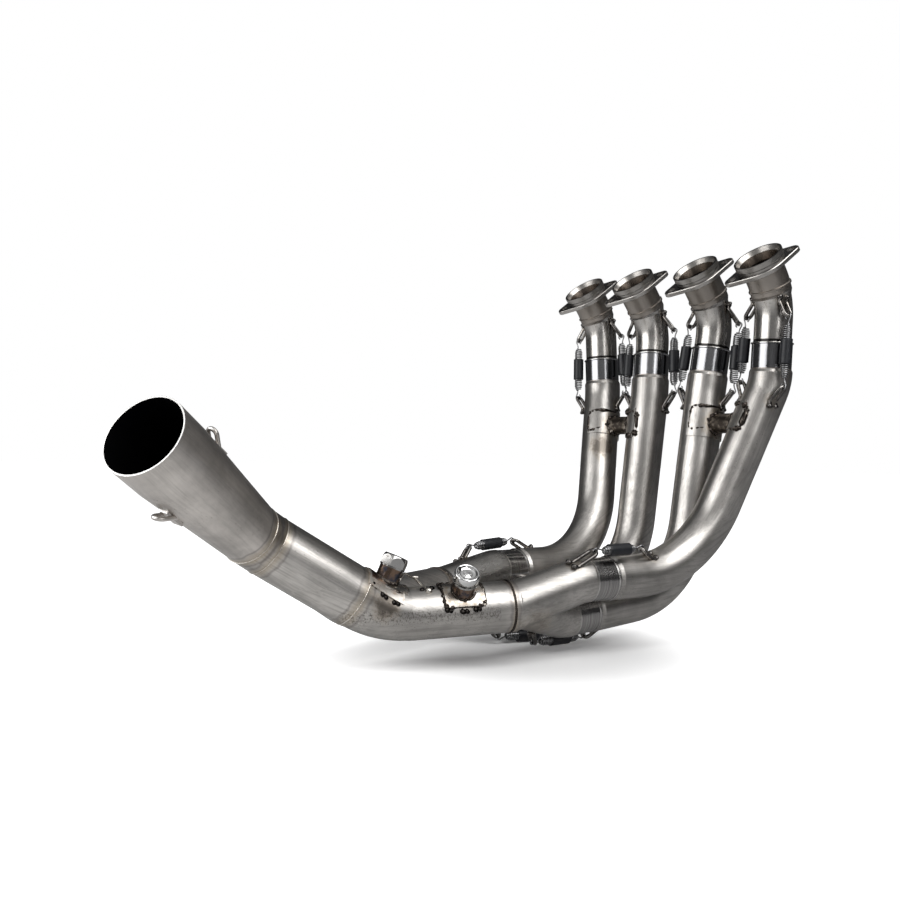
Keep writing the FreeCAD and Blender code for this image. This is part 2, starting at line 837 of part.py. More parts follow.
def twin_shape(upper, lower):
    """Two slip sockets whose legs run together into one outlet collar."""
    wall = size("pipe_wall")
    socket = size("tail_radius") + size("slip_gap")
    lip = size("lip_width")
    crest = socket + wall + size("lip_rise")
    band = size("collector_band")
    shoulder = band + size("shoulder_length")
    pipe = size("pipe_radius")
    end = size("twin_outlet_radius")
    collar = size("twin_collar_length")
    outlet, outward = twin_outlet(SIDE[upper])
    target = outlet - outward * collar
    cap = beyond(target, outward)
    outsides = [bar(target, outward, collar, end)]
    insides = [bar(target, outward, collar, end - wall)]
    for number in (upper, lower):
        route = twin_leg_route(number)
        slant = route.at(route.length)[1].dot(outward)
        last = (end - size("twin_leg_inset")) * slant
        reach = route.length - end
        outsides.append(route.shape([
            (0, socket + wall), (lip / 3, crest), (lip * 2 / 3, crest), (lip, socket + wall),
            (band, socket + wall), (shoulder, pipe), (route.last_run(), pipe), (reach, last),
            (route.length, last)]).cut(cap))
        insides.append(route.shape([
            (0, socket), (band, socket), (shoulder, pipe - wall), (route.last_run(), pipe - wall),
            (reach, last - wall), (route.length, last - wall)]).cut(cap))
        outsides.append(COLLECTOR_SEATS[number].hook(1, pipe))
    body = joined(outsides)
    for inside in insides:
        body = body.cut(inside)
    return body


# merge collector with the two secondary pipes

def outlet_bends():
    """Corners of the outlet from the first mitre to the mouth, and the directions between them."""
    start = place("merge_bend", 1)
    one = place("mitre_one", 1)
    two = place("mitre_two", 1)
    mouth = place("mouth", 1)
    return one, two, mouth, [unit(one - start), unit(two - one), unit(mouth - two)]


def merge_leg_profile():
    """Distances and radii of the right leg, which widens into the merged pipe."""
    route = MERGE_LEGS[1]
    narrow = size("twin_outlet_radius")
    wide = size("merged_radius")
    run = (place("mitre_one", 1) - place("merge_bend", 1)).Length
    ring_at = route.length - run + size("merge_ring_place")
    return [(0, narrow), (ring_at - size("merge_taper"), narrow), (ring_at, wide), (route.length + wide, wide)]


def merge_shape():
    """Two secondary pipes that bend upward and run together into the merged pipe."""
    wall = size("pipe_wall")
    narrow = size("twin_outlet_radius")
    right, left = MERGE_LEGS[1], MERGE_LEGS[-1]
    right_profile = merge_leg_profile()
    left_profile = [(0, narrow), (left.length, narrow)]
    body = joined([right.shape(right_profile), left.shape(left_profile)])
    body = body.cut(right.shape(right_profile, -wall)).cut(left.shape(left_profile, -wall))
    for which in ("one", "two"):
        point, outward, _ = boss_line(which)
        body = body.cut(bar(point, outward, 2 * narrow, size("boss_bore")))
    one, _, _, runs = outlet_bends()
    return body.cut(beyond(one, unit(runs[0] + runs[1])))


# outlet: the short mitred ring and the widening mouth piece

def mitre_shape():
    """The short ring of pipe between the two mitres."""
    one, two, _, runs = outlet_bends()
    radius = size("merged_radius")
    start = one - runs[1] * radius
    span = (two - one).Length + 2 * radius
    pipe = bar(start, runs[1], span, radius).cut(bar(start, runs[1], span, radius - size("pipe_wall")))
    return pipe.common(beyond(one, unit(runs[0] + runs[1]))).cut(beyond(two, unit(runs[1] + runs[2])))


def cone_profile():
    """Distances and radii along the mouth piece, from the second mitre."""
    _, two, mouth, _ = outlet_bends()
    span = (mouth - two).Length
    narrow = size("merged_radius")
    wide = size("mouth_radius")
    return [(-narrow, narrow), (size("cone_start"), narrow), (span - size("mouth_straight"), wide), (span, wide)]


def eyelet_shapes():
    """Wire eyelets on opposite sides of the cone, each beside its welded pad."""
    _, two, mouth, runs = outlet_bends()
    axis = runs[2]
    distance = (mouth - two).Length - size("eyelet_place")
    _, (low, narrow), (high, wide), _ = cone_profile()
    radius = narrow + (wide - narrow) * (distance - low) / (high - low)
    centre = two + axis * distance
    wall = size("pipe_wall")
    shapes = []
    for side in (1, -1):
        outward = turned(square_to(UP, axis), axis, size("eyelet_turn")) * side
        foot = centre + outward * (radius - size("hook_seat"))
        crown = centre + outward * (radius + size("eyelet_rise")) + axis * size("eyelet_reach")
        shapes.append(hook_shape(foot, crown, axis))
        shapes.append(block(centre + outward * (radius - wall / 2), outward, axis, size("eyelet_pad_length"),
                            size("eyelet_pad_width"), size("eyelet_pad_thickness") + wall / 2))
    return shapes


def outlet_shape():
    """The widening mouth piece, from the second mitre to its straight end."""
    _, two, mouth, runs = outlet_bends()
    route = Route([two, mouth], [])
    profile = cone_profile()
    outside = joined([route.shape(profile)] + eyelet_shapes())
    hollow = outside.cut(route.shape(profile, -size("pipe_wall")))
    return hollow.common(beyond(two, unit(runs[1] + runs[2])))


# sensor bosses, washers and plugs

def boss_line(which):
    """Foot, direction and pipe direction of a sensor boss on the right secondary pipe."""
    point, along = MERGE_LEGS[1].at(size("boss_" + which + "_place"))
    return point, turned(square_to(UP, along), along, size("boss_" + which + "_turn")), along


def boss_top(which):
    """Centre of a boss's open face, with the direction out of it and the pipe's direction."""
    point, outward, along = boss_line(which)
    distance = size("boss_" + which + "_place")
    _, (low, narrow), (high, wide), _ = merge_leg_profile()
    share = min(1.0, max(0.0, (distance - low) / (high - low)))
    radius = narrow + (wide - narrow) * share
    return point + outward * (radius + size("boss_height")), outward, along


def boss_shape(which):
    """A bored boss on a saddle pad that follows the pipe."""
    point, outward, along = boss_line(which)
    top, _, _ = boss_top(which)
    height = (top - point).Length
    route = MERGE_LEGS[1]
    profile = merge_leg_profile()
    skin = route.shape(profile, size("weld_gap"))
    shell = route.shape(profile, size("weld_gap") + size("pad_thickness"))
    pad = shell.common(block(point, outward, along, size("pad_length"), size("pad_width"), height))
    body = joined([pad, bar(point, outward, height, size("boss_radius"))]).cut(skin)
    return body.cut(bar(point, outward, height, size("boss_bore")))


def plug_object(which):
    """Six-sided plug with a round recess and a shank that fills the boss."""
    prism = primitive("Part::Prism", "PlugPrism_" + which, {
        "Circumradius": "Sizes.plug_across_flats / sqrt(3)", "Height": "Sizes.plug_head"})
    prism.Polygon = 6
    bevel = primitive("Part::Cone", "PlugBevel_" + which, {
        "Radius1": "Sizes.plug_bevel_foot", "Radius2": "Sizes.plug_bevel_top", "Height": "Sizes.plug_head"})
    head = boolean("Part::Common", "PlugHead_" + which, prism, bevel)
    shank = primitive("Part::Cylinder", "PlugShank_" + which, {
        "Radius": "Sizes.boss_bore - Sizes.plug_gap",
        "Height": "Sizes.plug_shank + Sizes.washer_thickness",
        "Placement.Base.z": "-Sizes.plug_shank - Sizes.washer_thickness"})
    whole = boolean("Part::Fuse", "PlugSolid_" + which, head, shank)
    recess = primitive("Part::Cylinder", "PlugRecess_" + which, {
        "Radius": "Sizes.plug_recess_radius", "Height": "Sizes.plug_recess_depth",
        "Placement.Base.z": "Sizes.plug_head - Sizes.plug_recess_depth"})
    return boolean("Part::Cut", "Plug_" + which, whole, recess)


# the whole header

for number in PORTS:
    port = Vector(PORTS[number], 0, 0)
    keep(collar_body(number), "collar_%d" % number, upright(port, PORT_AXIS, ACROSS))
    keep(flange_body(number), "flange_%d" % number, flange_placement(number))
    add_shape("stub_%d" % number, stub_shape(number))
    add_shape("header_pipe_%d" % number, header_shape(number))

add_shape("cross_pipe_left", cross_shape(1, 2))
add_shape("cross_pipe_right", cross_shape(4, 3))
add_shape("twin_collector_left", twin_shape(1, 2))
add_shape("twin_collector_right", twin_shape(4, 3))
add_shape("merge_collector", merge_shape())
add_shape("mitre_ring", mitre_shape())
add_shape("outlet_cone", outlet_shape())

for which in ("one", "two"):
    top, outward, along = boss_top(which)
    seat = top + outward * size("washer_thickness")
    add_shape("sensor_boss_" + which, boss_shape(which))
    washer = tube_object("Washer_" + which, "Sizes.washer_thickness", "Sizes.washer_radius", "Sizes.boss_bore")
    keep(washer, "plug_washer_" + which, upright(top, outward, along))
    keep(plug_object(which), "sensor_plug_" + which, upright(seat, outward, along))

seats = {}
for number in PORTS:
    seats["port_%d_left" % number], seats["port_%d_right" % number] = PORT_SEATS[number]
    seats["collector_%d" % number] = COLLECTOR_SEATS[number]
for name, spring in seats.items():
    add_shape("spring_" + name, spring_shape(spring.span), spring.place_from(0))
    sleeve = tube_object("Sleeve_" + name, "Sizes.sleeve_length", "Sizes.sleeve_radius",
                         "Sizes.spring_radius + Sizes.spring_gap")
    keep(sleeve, "sleeve_" + name, spring.place_from(size("sleeve_length") / 2))

doc.recompute()
failed = [item.Name for item in doc.Objects if "Invalid" in item.State or "Error" in item.State]
if failed:
    raise RuntimeError("objects that failed: %s" % ", ".join(failed))
for piece in PIECES:
    if piece.Shape.isNull() or not piece.Shape.isValid():
        raise RuntimeError("%s has no valid shape" % piece.Label)

os.makedirs("parts", exist_ok=True)
for piece in PIECES:
    print(piece.Label, len(piece.Shape.Solids), round(piece.Shape.Volume, 1))
    piece.Shape.exportStep("parts/%s.step" % piece.Label)
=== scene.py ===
"""Looks of a four-into-one motorcycle exhaust header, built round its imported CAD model.

The CAD nodes carry the tubes, collars and flanges. This script gives them their metal finishes and adds
the coil springs, rubber sleeves, wire hooks, weld beads, studio and camera. All lengths are metres.
"""

import logging
import math
from dataclasses import dataclass
from enum import Enum

import bmesh
import bpy
from mathutils import Matrix, Vector, noise
from mathutils.bvhtree import BVHTree


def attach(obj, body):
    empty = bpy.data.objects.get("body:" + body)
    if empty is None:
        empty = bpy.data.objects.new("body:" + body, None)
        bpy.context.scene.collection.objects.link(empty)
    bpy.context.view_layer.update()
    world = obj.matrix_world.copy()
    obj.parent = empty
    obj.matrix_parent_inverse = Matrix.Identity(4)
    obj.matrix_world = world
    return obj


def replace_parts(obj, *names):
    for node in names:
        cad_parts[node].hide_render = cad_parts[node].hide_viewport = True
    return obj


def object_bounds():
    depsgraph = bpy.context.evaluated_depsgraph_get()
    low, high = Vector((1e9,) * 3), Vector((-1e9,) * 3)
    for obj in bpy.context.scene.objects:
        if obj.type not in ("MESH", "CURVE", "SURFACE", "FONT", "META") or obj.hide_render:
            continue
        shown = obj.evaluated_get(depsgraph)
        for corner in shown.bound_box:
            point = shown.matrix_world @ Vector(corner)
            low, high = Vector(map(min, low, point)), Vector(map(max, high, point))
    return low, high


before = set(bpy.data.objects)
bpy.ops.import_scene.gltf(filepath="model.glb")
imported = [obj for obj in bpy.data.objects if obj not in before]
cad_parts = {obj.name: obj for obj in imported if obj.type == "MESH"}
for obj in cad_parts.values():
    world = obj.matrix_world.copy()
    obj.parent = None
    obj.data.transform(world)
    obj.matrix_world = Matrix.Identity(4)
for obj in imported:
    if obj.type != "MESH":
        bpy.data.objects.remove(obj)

LOG = logging.getLogger("header")
Vec = tuple[float, float, float]
Colour = tuple[float, float, float]
Socket = bpy.types.NodeSocket
Amount = Socket | float
Shade = Socket | Colour
WHITE: Colour = (1.0, 1.0, 1.0)
BODY = "root"
CAD_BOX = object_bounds()


class Slot(Enum):
    """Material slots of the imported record."""

    PIPE = "pipe_titanium"
    SPRING = "spring_steel"
    PLUG = "plug_steel"
    SLEEVE = "spring_sleeve"


# Where each spring pulls: foot and crown of its first hook, then crown and foot of its second hook.
SPRINGS: dict[str, tuple[Vec, Vec, Vec, Vec]] = {
    "port_1_left": ((-0.0145, 0.0173, -0.0453), (-0.0221, 0.0137, -0.0600),
        (-0.0191, 0.0116, -0.1289), (-0.0078, 0.0130, -0.1435)),
    "port_1_right": ((0.0176, 0.0306, -0.0405), (0.0279, 0.0363, -0.0563),
        (0.0343, 0.0371, -0.1246), (0.0281, 0.0305, -0.1405)),
    "port_2_left": ((0.0627, 0.0255, -0.0446), (0.0536, 0.0258, -0.0601),
        (0.0556, 0.0183, -0.1280), (0.0650, 0.0192, -0.1426)),
    "port_2_right": ((0.0969, 0.0339, -0.0406), (0.1070, 0.0408, -0.0562),
        (0.1132, 0.0349, -0.1272), (0.1038, 0.0301, -0.1443)),
    "port_3_left": ((0.1531, 0.0252, -0.0438), (0.1430, 0.0256, -0.0577),
        (0.1368, 0.0186, -0.1253), (0.1462, 0.0186, -0.1426)),
    "port_3_right": ((0.1873, 0.0341, -0.0414), (0.1964, 0.0410, -0.0585),
        (0.1944, 0.0346, -0.1299), (0.1851, 0.0295, -0.1441)),
    "port_4_left": ((0.2324, 0.0215, -0.0430), (0.2221, 0.0210, -0.0570),
        (0.2156, 0.0208, -0.1212), (0.2219, 0.0192, -0.1371)),
    "port_4_right": ((0.2657, 0.0196, -0.0447), (0.2741, 0.0175, -0.0599),
        (0.2712, 0.0151, -0.1296), (0.2591, 0.0145, -0.1440)),
    "collector_1": ((0.0466, -0.1225, -0.3032), (0.0434, -0.1387, -0.2933),
        (0.0484, -0.2005, -0.2973), (0.0544, -0.2136, -0.3101)),
    "collector_2": ((0.0972, -0.1144, -0.3731), (0.1042, -0.1293, -0.3853),
        (0.0989, -0.1990, -0.3819), (0.0891, -0.2091, -0.3669)),
    "collector_3": ((0.1529, -0.1140, -0.3677), (0.1458, -0.1287, -0.3801),
        (0.1510, -0.1978, -0.3789), (0.1609, -0.2085, -0.3646)),
    "collector_4": ((0.2054, -0.0991, -0.2970), (0.2086, -0.1133, -0.2878),
        (0.2044, -0.1692, -0.2886), (0.1983, -0.1892, -0.3012)),
}


def unit(vector: Vector) -> Vector:
    """Return the vector at length one."""
    return Vector(vector).normalized()


def square_to(vector: Vector, direction: Vector) -> Vector:
    """Return the part of a vector that is square to a direction, at length one.

    Args:
        vector: The vector to straighten.
        direction: A vector of length one.

    Returns:
        The square part, normalised.
    """
    return unit(Vector(vector) - Vector(direction) * Vector(vector).dot(direction))


def cross_pair(axis: Vector, hint: Vector) -> tuple[Vector, Vector]:
    """Return two directions square to an axis and to each other.

    Args:
        axis: A vector of length one.
        hint: Direction that the first of the two comes nearest to.

    Returns:
        The direction towards the hint, and the one square to both.
    """
    first = square_to(hint, axis)
    return first, axis.cross(first)


def around(first: Vector, second: Vector, angle: float) -> Vector:
    """Return the direction at an angle from one direction towards another that is square to it."""
    return first * math.cos(angle) + second * math.sin(angle)


def full_turn(count: int) -> list[float]:
    """Return evenly spaced angles of one full turn."""
    return [2 * math.pi * k / count for k in range(count)]


def loop_noise(angle: float, level: float, scale: float, seed: float) -> float:
    """Return smooth noise round a loop, which closes on itself.

    Args:
        angle: Angle round the loop.
        level: Height of the loop in the noise.
        scale: Size of the loop in the noise.
        seed: Offset of the loop in the noise.

    Returns:
        The noise, between about -1 and 1.
    """
    return noise.noise(Vector((math.cos(angle), math.sin(angle), level)) * scale + Vector((seed, 0, 0)))


# node graphs


class Graph:
    """Adds nodes to one node tree and links them."""

    def __init__(self, tree: bpy.types.NodeTree) -> None:
        """Keep the tree and start with it empty.

        Args:
            tree: The tree that receives the nodes.
        """
        self.tree = tree
        self.tree.nodes.clear()

    def feed(self, target: Socket, value: Amount | Vec) -> None:
        """Link a socket to an input, or set the input to a value.

        Args:
            target: The input.
            value: A socket, a number or a vector.
        """
        if isinstance(value, Socket):
            self.tree.links.new(value, target)
        else:
            target.default_value = value

    def add(self, kind: str, inputs: dict | None = None, **settings: object) -> bpy.types.Node:
        """Add a node.

        Args:
            kind: Blender's type name of the node.
            inputs: Input names or numbers with a value or a socket to link.
            **settings: Properties of the node itself.

        Returns:
            The new node.
        """
        node = self.tree.nodes.new(kind)
        for name, value in settings.items():
            setattr(node, name, value)
        for name, value in (inputs or {}).items():
            self.feed(node.inputs[name], value)
        return node

    def math(self, operation: str, *values: Amount) -> Socket:
        """Add a Math node over sockets or numbers and return its value."""
        return self.add("ShaderNodeMath", dict(enumerate(values)), operation=operation).outputs[0]

    def times(self, first: Amount, second: Amount) -> Socket:
        """Return the product of two values."""
        return self.math("MULTIPLY", first, second)

    def plus(self, first: Amount, second: Amount) -> Socket:
        """Return the sum of two values."""
        return self.math("ADD", first, second)

    def minus(self, first: Amount, second: Amount) -> Socket:
        """Return the first value less the second."""
        return self.math("SUBTRACT", first, second)

    def vector(self, operation: str, *values: Socket | Vec) -> Socket:
        """Add a Vector Math node and return its vector, or its value for a dot product or length."""
        node = self.add("ShaderNodeVectorMath", dict(enumerate(values)), operation=operation)
        return node.outputs["Value" if operation in ("DOT_PRODUCT", "LENGTH", "DISTANCE") else "Vector"]

    def scale(self, vector: Socket, factor: Amount) -> Socket:
        """Return a vector times a number or a value socket."""
        node = self.add("ShaderNodeVectorMath", {0: vector, "Scale": factor}, operation="SCALE")
        return node.outputs["Vector"]

    def point(self, x: Amount, y: Amount = 0.0, z: Amount = 0.0) -> Socket:
        """Join three values to a vector."""
        return self.add("ShaderNodeCombineXYZ", {0: x, 1: y, 2: z}).outputs[0]

    def smooth(self, value: Amount, low: Amount, high: Amount, start: float = 0.0,
               end: float = 1.0) -> Socket:
        """Ease a value from start to end between two levels, which may be sockets.

        Args:
            value: The value to map.
            low: Level at which the result is start.
            high: Level at which the result is end.
            start: Result below the low level.
            end: Result above the high level.

        Returns:
            The eased value.
        """
        node = self.add("ShaderNodeMapRange", {0: value, 1: low, 2: high, 3: start, 4: end},
                        interpolation_type="SMOOTHSTEP")
        return node.outputs[0]

    def mix(self, factor: Amount, first: Shade, second: Shade) -> Socket:
        """Blend two colours and return the colour.

        Args:
            factor: Share of the second colour, a number or a socket.
            first: First colour, three numbers or a socket.
            second: Second colour, three numbers or a socket.

        Returns:
            The blended colour.
        """
        node = self.add("ShaderNodeMix", data_type="RGBA")
        self.feed(node.inputs[0], factor)
        for index, value in ((6, first), (7, second)):
            self.feed(node.inputs[index], value if isinstance(value, Socket) else colour4(value))
        return node.outputs[2]

    def noise(self, vector: Socket, scale: float, detail: float = 3.0, roughness: float = 0.55) -> Socket:
        """Add a Noise Texture and return its value.

        Args:
            vector: Coordinates in metres.
            scale: Waves in a metre.
            detail: Octaves of the noise.
            roughness: Strength of the finer octaves.

        Returns:
            The noise value, about a half on average.
        """
        node = self.add("ShaderNodeTexNoise", {"Vector": vector, "Scale": scale, "Detail": detail,
                                               "Roughness": roughness})
        return node.outputs["Fac"]

    def place(self) -> Socket:
        """Return the coordinates in the object's own space, which is the row frame."""
        return self.add("ShaderNodeTexCoord").outputs["Object"]

    def polar(self, start: Socket, axis: Socket) -> tuple[Socket, Socket]:
        """Return how far the surface lies along an axis and how far off it.

        Args:
            start: Point from which the first is counted.
            axis: Direction of the axis.

        Returns:
            The distance along the axis, and the distance off it.
        """
        away = self.vector("SUBTRACT", self.place(), start)
        along = self.vector("DOT_PRODUCT", away, axis)
        return along, self.vector("LENGTH", self.vector("SUBTRACT", away, self.scale(axis, along)))

    def facing(self, way: Vec) -> Socket:
        """Return how squarely the surface faces a direction."""
        return self.vector("DOT_PRODUCT", self.add("ShaderNodeNewGeometry").outputs["True Normal"], way)

    def group(self, tree: bpy.types.NodeTree, inputs: dict) -> bpy.types.Node:
        """Place a node group with its own values."""
        return self.add("ShaderNodeGroup", inputs, node_tree=tree)

    def give(self, values: dict[str, Socket]) -> bpy.types.NodeTree:
        """Put out a group's values and return the group."""
        self.add("NodeGroupOutput", values)
        return self.tree

    def surface(self, colour: Socket, rough: Socket, height: Socket, strength: float,
                distance: float = 0.0002, metallic: float = 1.0) -> None:
        """Put a Principled shader with a fine bump on the material.

        Args:
            colour: Base colour.
            rough: Roughness.
            height: Height of the bump.
            strength: Strength of the bump.
            distance: Depth of the bump.
            metallic: One for metal and nought for rubber.
        """
        bump = self.add("ShaderNodeBump", {"Strength": strength, "Distance": distance, "Height": height})
        shader = self.add("ShaderNodeBsdfPrincipled", {"Base Color": colour, "Metallic": metallic,
                                                       "Roughness": rough, "Normal": bump.outputs["Normal"]})
        self.add("ShaderNodeOutputMaterial", {"Surface": shader.outputs[0]})


def colour4(colour: Colour) -> tuple[float, float, float, float]:
    """Return a colour with full alpha."""
    return (*colour, 1.0)


def shaded(colour: Colour, factor: float) -> Colour:
    """Return a colour made darker or lighter by a factor."""
    return tuple(min(1.0, factor * c) for c in colour)


def new_material(name: str) -> tuple[bpy.types.Material, Graph]:
    """Make an empty material.

    Args:
        name: Name of the material.

    Returns:
        The material, and the graph that fills it.
    """
    material = bpy.data.materials.new(name)
    material.use_nodes = True
    return material, Graph(material.node_tree)


def new_group(name: str, inputs: dict[str, str], outputs: tuple[str, ...]) -> tuple[Graph, object]:
    """Make an empty shader node group with named sockets.

    Args:
        name: Name of the group.
        inputs: Names and socket types of the inputs.
        outputs: Names of the outputs, which are all values.

    Returns:
        The group's graph, and what is given to the group by name.
    """
    tree = bpy.data.node_groups.new(name, "ShaderNodeTree")
    graph = Graph(tree)
    for label, kind in inputs.items():
        tree.interface.new_socket(name=label, in_out="INPUT", socket_type=kind)
    for label in outputs:
        tree.interface.new_socket(name=label, in_out="OUTPUT", socket_type=VALUE)
    return graph, graph.add("NodeGroupInput").outputs


VALUE = "NodeSocketFloat"
VECTOR = "NodeSocketVector"
SOFT_EDGE = 0.0002


class Effects:
    """The shader node groups that several finishes share, each built once."""

    def __init__(self) -> None:
        """Build all groups."""
        self.band = self._band()
        self.seam = self._seam()
        self.satin = self._satin()
        self.bore = self._bore()
        self.lathe = self._lathe()
        self.scorch_and_shade = self._scorch_and_shade()

    @staticmethod
    def _band() -> bpy.types.NodeTree:
        """Build the mask of a stretch of pipe between two planes, its edge, and the specks after it.

        Returns:
            The group.
        """
        graph, given = new_group("stretch of pipe",
                                 {"Start": VECTOR, "Axis": VECTOR, "Length": VALUE, "Reach": VALUE},
                                 ("Mask", "Along", "Edge", "After"))
        away = graph.vector("SUBTRACT", graph.place(), given["Start"])
        along = graph.vector("DOT_PRODUCT", away, given["Axis"])
        near = graph.math("LESS_THAN", graph.vector("LENGTH", away), given["Reach"])
        begin = graph.smooth(along, -SOFT_EDGE, SOFT_EDGE)
        rest = graph.minus(given["Length"], along)
        end = graph.smooth(rest, -SOFT_EDGE, SOFT_EDGE)
        mask = graph.times(graph.times(begin, end), near)
        edge = graph.times(graph.smooth(graph.math("ABSOLUTE", rest), 0.0, 0.0012, 1.0, 0.0), near)
        below = graph.times(graph.smooth(rest, -0.024, 0.0), graph.math("LESS_THAN", rest, 0.0))
        speck = graph.smooth(graph.noise(graph.place(), 330.0, 4.0, 0.75), 0.5, 0.66)
        after = graph.times(graph.times(below, near), speck)
        return graph.give({"Mask": mask, "Along": along, "Edge": edge, "After": after})

    @staticmethod
    def _seam() -> bpy.types.NodeTree:
        """Build the heat tint beside a welded ring: a wide, uneven stain and a darker line at its rim.

        Returns:
            The group.
        """
        graph, given = new_group("heat of a weld",
                                 {"Centre": VECTOR, "Normal": VECTOR, "Width": VALUE, "Reach": VALUE},
                                 ("Tint", "Halo"))
        place = graph.place()
        away = graph.vector("SUBTRACT", place, given["Centre"])
        wander = graph.times(graph.minus(graph.noise(place, 90.0, 2.0), 0.5), 0.006)
        gap = graph.math("ABSOLUTE", graph.vector("DOT_PRODUCT", away, given["Normal"]))
        near = graph.math("LESS_THAN", graph.vector("LENGTH", away), given["Reach"])
        rough_gap = graph.math("MAXIMUM", graph.plus(gap, wander), 0.0)
        tint = graph.times(graph.smooth(rough_gap, 0.0, given["Width"], 1.0, 0.0), near)
        ring = graph.math("ABSOLUTE", graph.minus(rough_gap, graph.times(given["Width"], 0.8)))
        halo = graph.times(graph.smooth(ring, 0.0, 0.0022, 1.0, 0.0), near)
        return graph.give({"Tint": tint, "Halo": halo})

    @staticmethod
    def _satin() -> bpy.types.NodeTree:
        """Build brushed metal: long fine streaks, broad tone, stains and a fine height.

        Returns:
            The group.
        """
        graph, given = new_group("brushed metal", {"Axis": VECTOR, "Stretch": VALUE},
                                 ("Streak", "Tone", "Stain", "Height"))
        place = graph.place()
        along = graph.vector("DOT_PRODUCT", place, given["Axis"])
        back = graph.scale(given["Axis"], graph.times(along, given["Stretch"]))
        drawn = graph.vector("SUBTRACT", place, back)
        streak = graph.noise(drawn, 430.0, 5.0, 0.75)
        grain = graph.noise(place, 1700.0, 2.0, 0.7)
        tone = graph.noise(place, 22.0, 4.0, 0.6)
        stain = graph.smooth(graph.noise(drawn, 130.0, 5.0, 0.7), 0.56, 0.74)
        height = graph.plus(graph.times(streak, 0.7), graph.times(grain, 0.5))
        return graph.give({"Streak": streak, "Tone": tone, "Stain": stain, "Height": height})

    @staticmethod
    def _bore() -> bpy.types.NodeTree:
        """Build the mask of what lies inside a straight or widening bore, and a little past its end.

        Returns:
            The group.
        """
        graph, given = new_group("inside of a bore",
                                 {"Start": VECTOR, "Axis": VECTOR, "Near radius": VALUE, "Far radius": VALUE,
                                  "Length": VALUE, "Past": VALUE}, ("Mask",))
        along, off = graph.polar(given["Start"], given["Axis"])
        radius = graph.add("ShaderNodeMapRange", {0: along, 1: 0.0, 2: given["Length"],
                                                  3: given["Near radius"],
                                                  4: given["Far radius"]}).outputs[0]
        mask = graph.math("LESS_THAN", off, radius)
        mask = graph.times(mask, graph.math("GREATER_THAN", along, -0.003))
        end = graph.plus(given["Length"], given["Past"])
        return graph.give({"Mask": graph.times(mask, graph.math("LESS_THAN", along, end))})

    @staticmethod
    def _lathe() -> bpy.types.NodeTree:
        """Build the turning marks of a lathe: fine rings round an axis.

        Returns:
            The group.
        """
        graph, given = new_group("turning marks", {"Centre": VECTOR, "Axis": VECTOR}, ("Rings", "Off"))
        along, off = graph.polar(given["Centre"], given["Axis"])
        return graph.give({"Rings": graph.noise(graph.point(off, along), 2600.0, 2.0, 0.6), "Off": off})

    @staticmethod
    def _scorch_and_shade() -> bpy.types.NodeTree:
        """Build a ragged patch round a point: its dark core, a burn that on some patches is painted shade as
        well, and its heat-tinted rim.

        Returns:
            The group.
        """
        graph, given = new_group("scorched patch", {"Centre": VECTOR, "Radius": VALUE}, ("Core", "Rim"))
        place = graph.place()
        wander = graph.times(graph.minus(graph.noise(place, 210.0, 3.0), 0.5), 0.9)
        off = graph.math("DIVIDE", graph.vector("DISTANCE", place, given["Centre"]), given["Radius"])
        ragged = graph.plus(off, wander)
        core = graph.smooth(ragged, 0.35, 0.7, 1.0, 0.0)
        rim = graph.smooth(ragged, 0.5, 1.0, 1.0, 0.0)
        return graph.give({"Core": core, "Rim": rim})


@dataclass(frozen=True)
class Stretch:
    """A stretch of pipe between two planes square to an axis."""

    start: Vec
    axis: Vec
    length: float
    reach: float = 0.045


@dataclass(frozen=True)
class Seam:
    """A welded ring in one plane."""

    centre: Vec
    normal: Vec
    width: float
    reach: float = 0.036


@dataclass(frozen=True)
class Bore:
    """A bore whose inside is dark with soot and painted shade, or bare."""

    start: Vec
    axis: Vec
    near: float
    far: float
    length: float
    colour: Colour
    dulled: float
    past: float = 0.0


@dataclass(frozen=True)
class Spot:
    """A burnt patch round a welded fitting; on some patches the dark core is painted shade as well."""

    centre: Vec
    radius: float
    strength: float


# What lies over the bare metal.
TARNISH: Colour = (0.17, 0.155, 0.14)
BRUSH_LINE: Colour = (0.2, 0.19, 0.18)
FLECK: Colour = (0.12, 0.105, 0.09)
BLAST_DARK: Colour = (0.26, 0.23, 0.20)
BLAST_PALE: Colour = (0.44, 0.405, 0.37)
HEAT_TAN: Colour = (0.40, 0.32, 0.22)
HEAT_GREY: Colour = (0.17, 0.15, 0.145)
BURNT_RIM: Colour = (0.42, 0.33, 0.23)
# dark core of burnt patches, painted shade on some of them
BURN_AND_SHADE_CORE: Colour = (0.065, 0.053, 0.044)
POLISH_DARK: Colour = (0.27, 0.26, 0.255)
POLISH_PALE: Colour = (0.50, 0.49, 0.475)
# painted highlight along the polished bands' far edge
EDGE_HIGHLIGHT: Colour = (0.8, 0.78, 0.75)
MIRROR_SPECK: Colour = (0.25, 0.2, 0.15)
MIRROR_EDGE: Colour = (0.16, 0.12, 0.09)
# slip bands: darkened below bare titanium as painted dark reflection, with a painted highlight just under
# their lip
MIRROR_PAINTED_DARK: Colour = (0.30, 0.30, 0.31)
LIP_HIGHLIGHT: Colour = (0.86, 0.85, 0.83)
SPATTER: Colour = (0.07, 0.06, 0.052)
SHADOW_GAP: Colour = (0.035, 0.033, 0.032)
# painted highlight on the outlet cone's rim
RIM_HIGHLIGHT: Colour = (0.95, 0.94, 0.92)
OIL_STAIN: Colour = (0.2, 0.17, 0.14)
PLATE_PALE: Colour = (0.42, 0.40, 0.375)
PLATE_TAN: Colour = (0.30, 0.255, 0.205)
NECK_BROWN: Colour = (0.19, 0.13, 0.095)
NECK_BLUE: Colour = (0.055, 0.06, 0.08)
RUBBER_BLACK: Colour = (0.007, 0.008, 0.011)
RUBBER_DUST: Colour = (0.026, 0.028, 0.034)
TURN_WANDER = 0.02


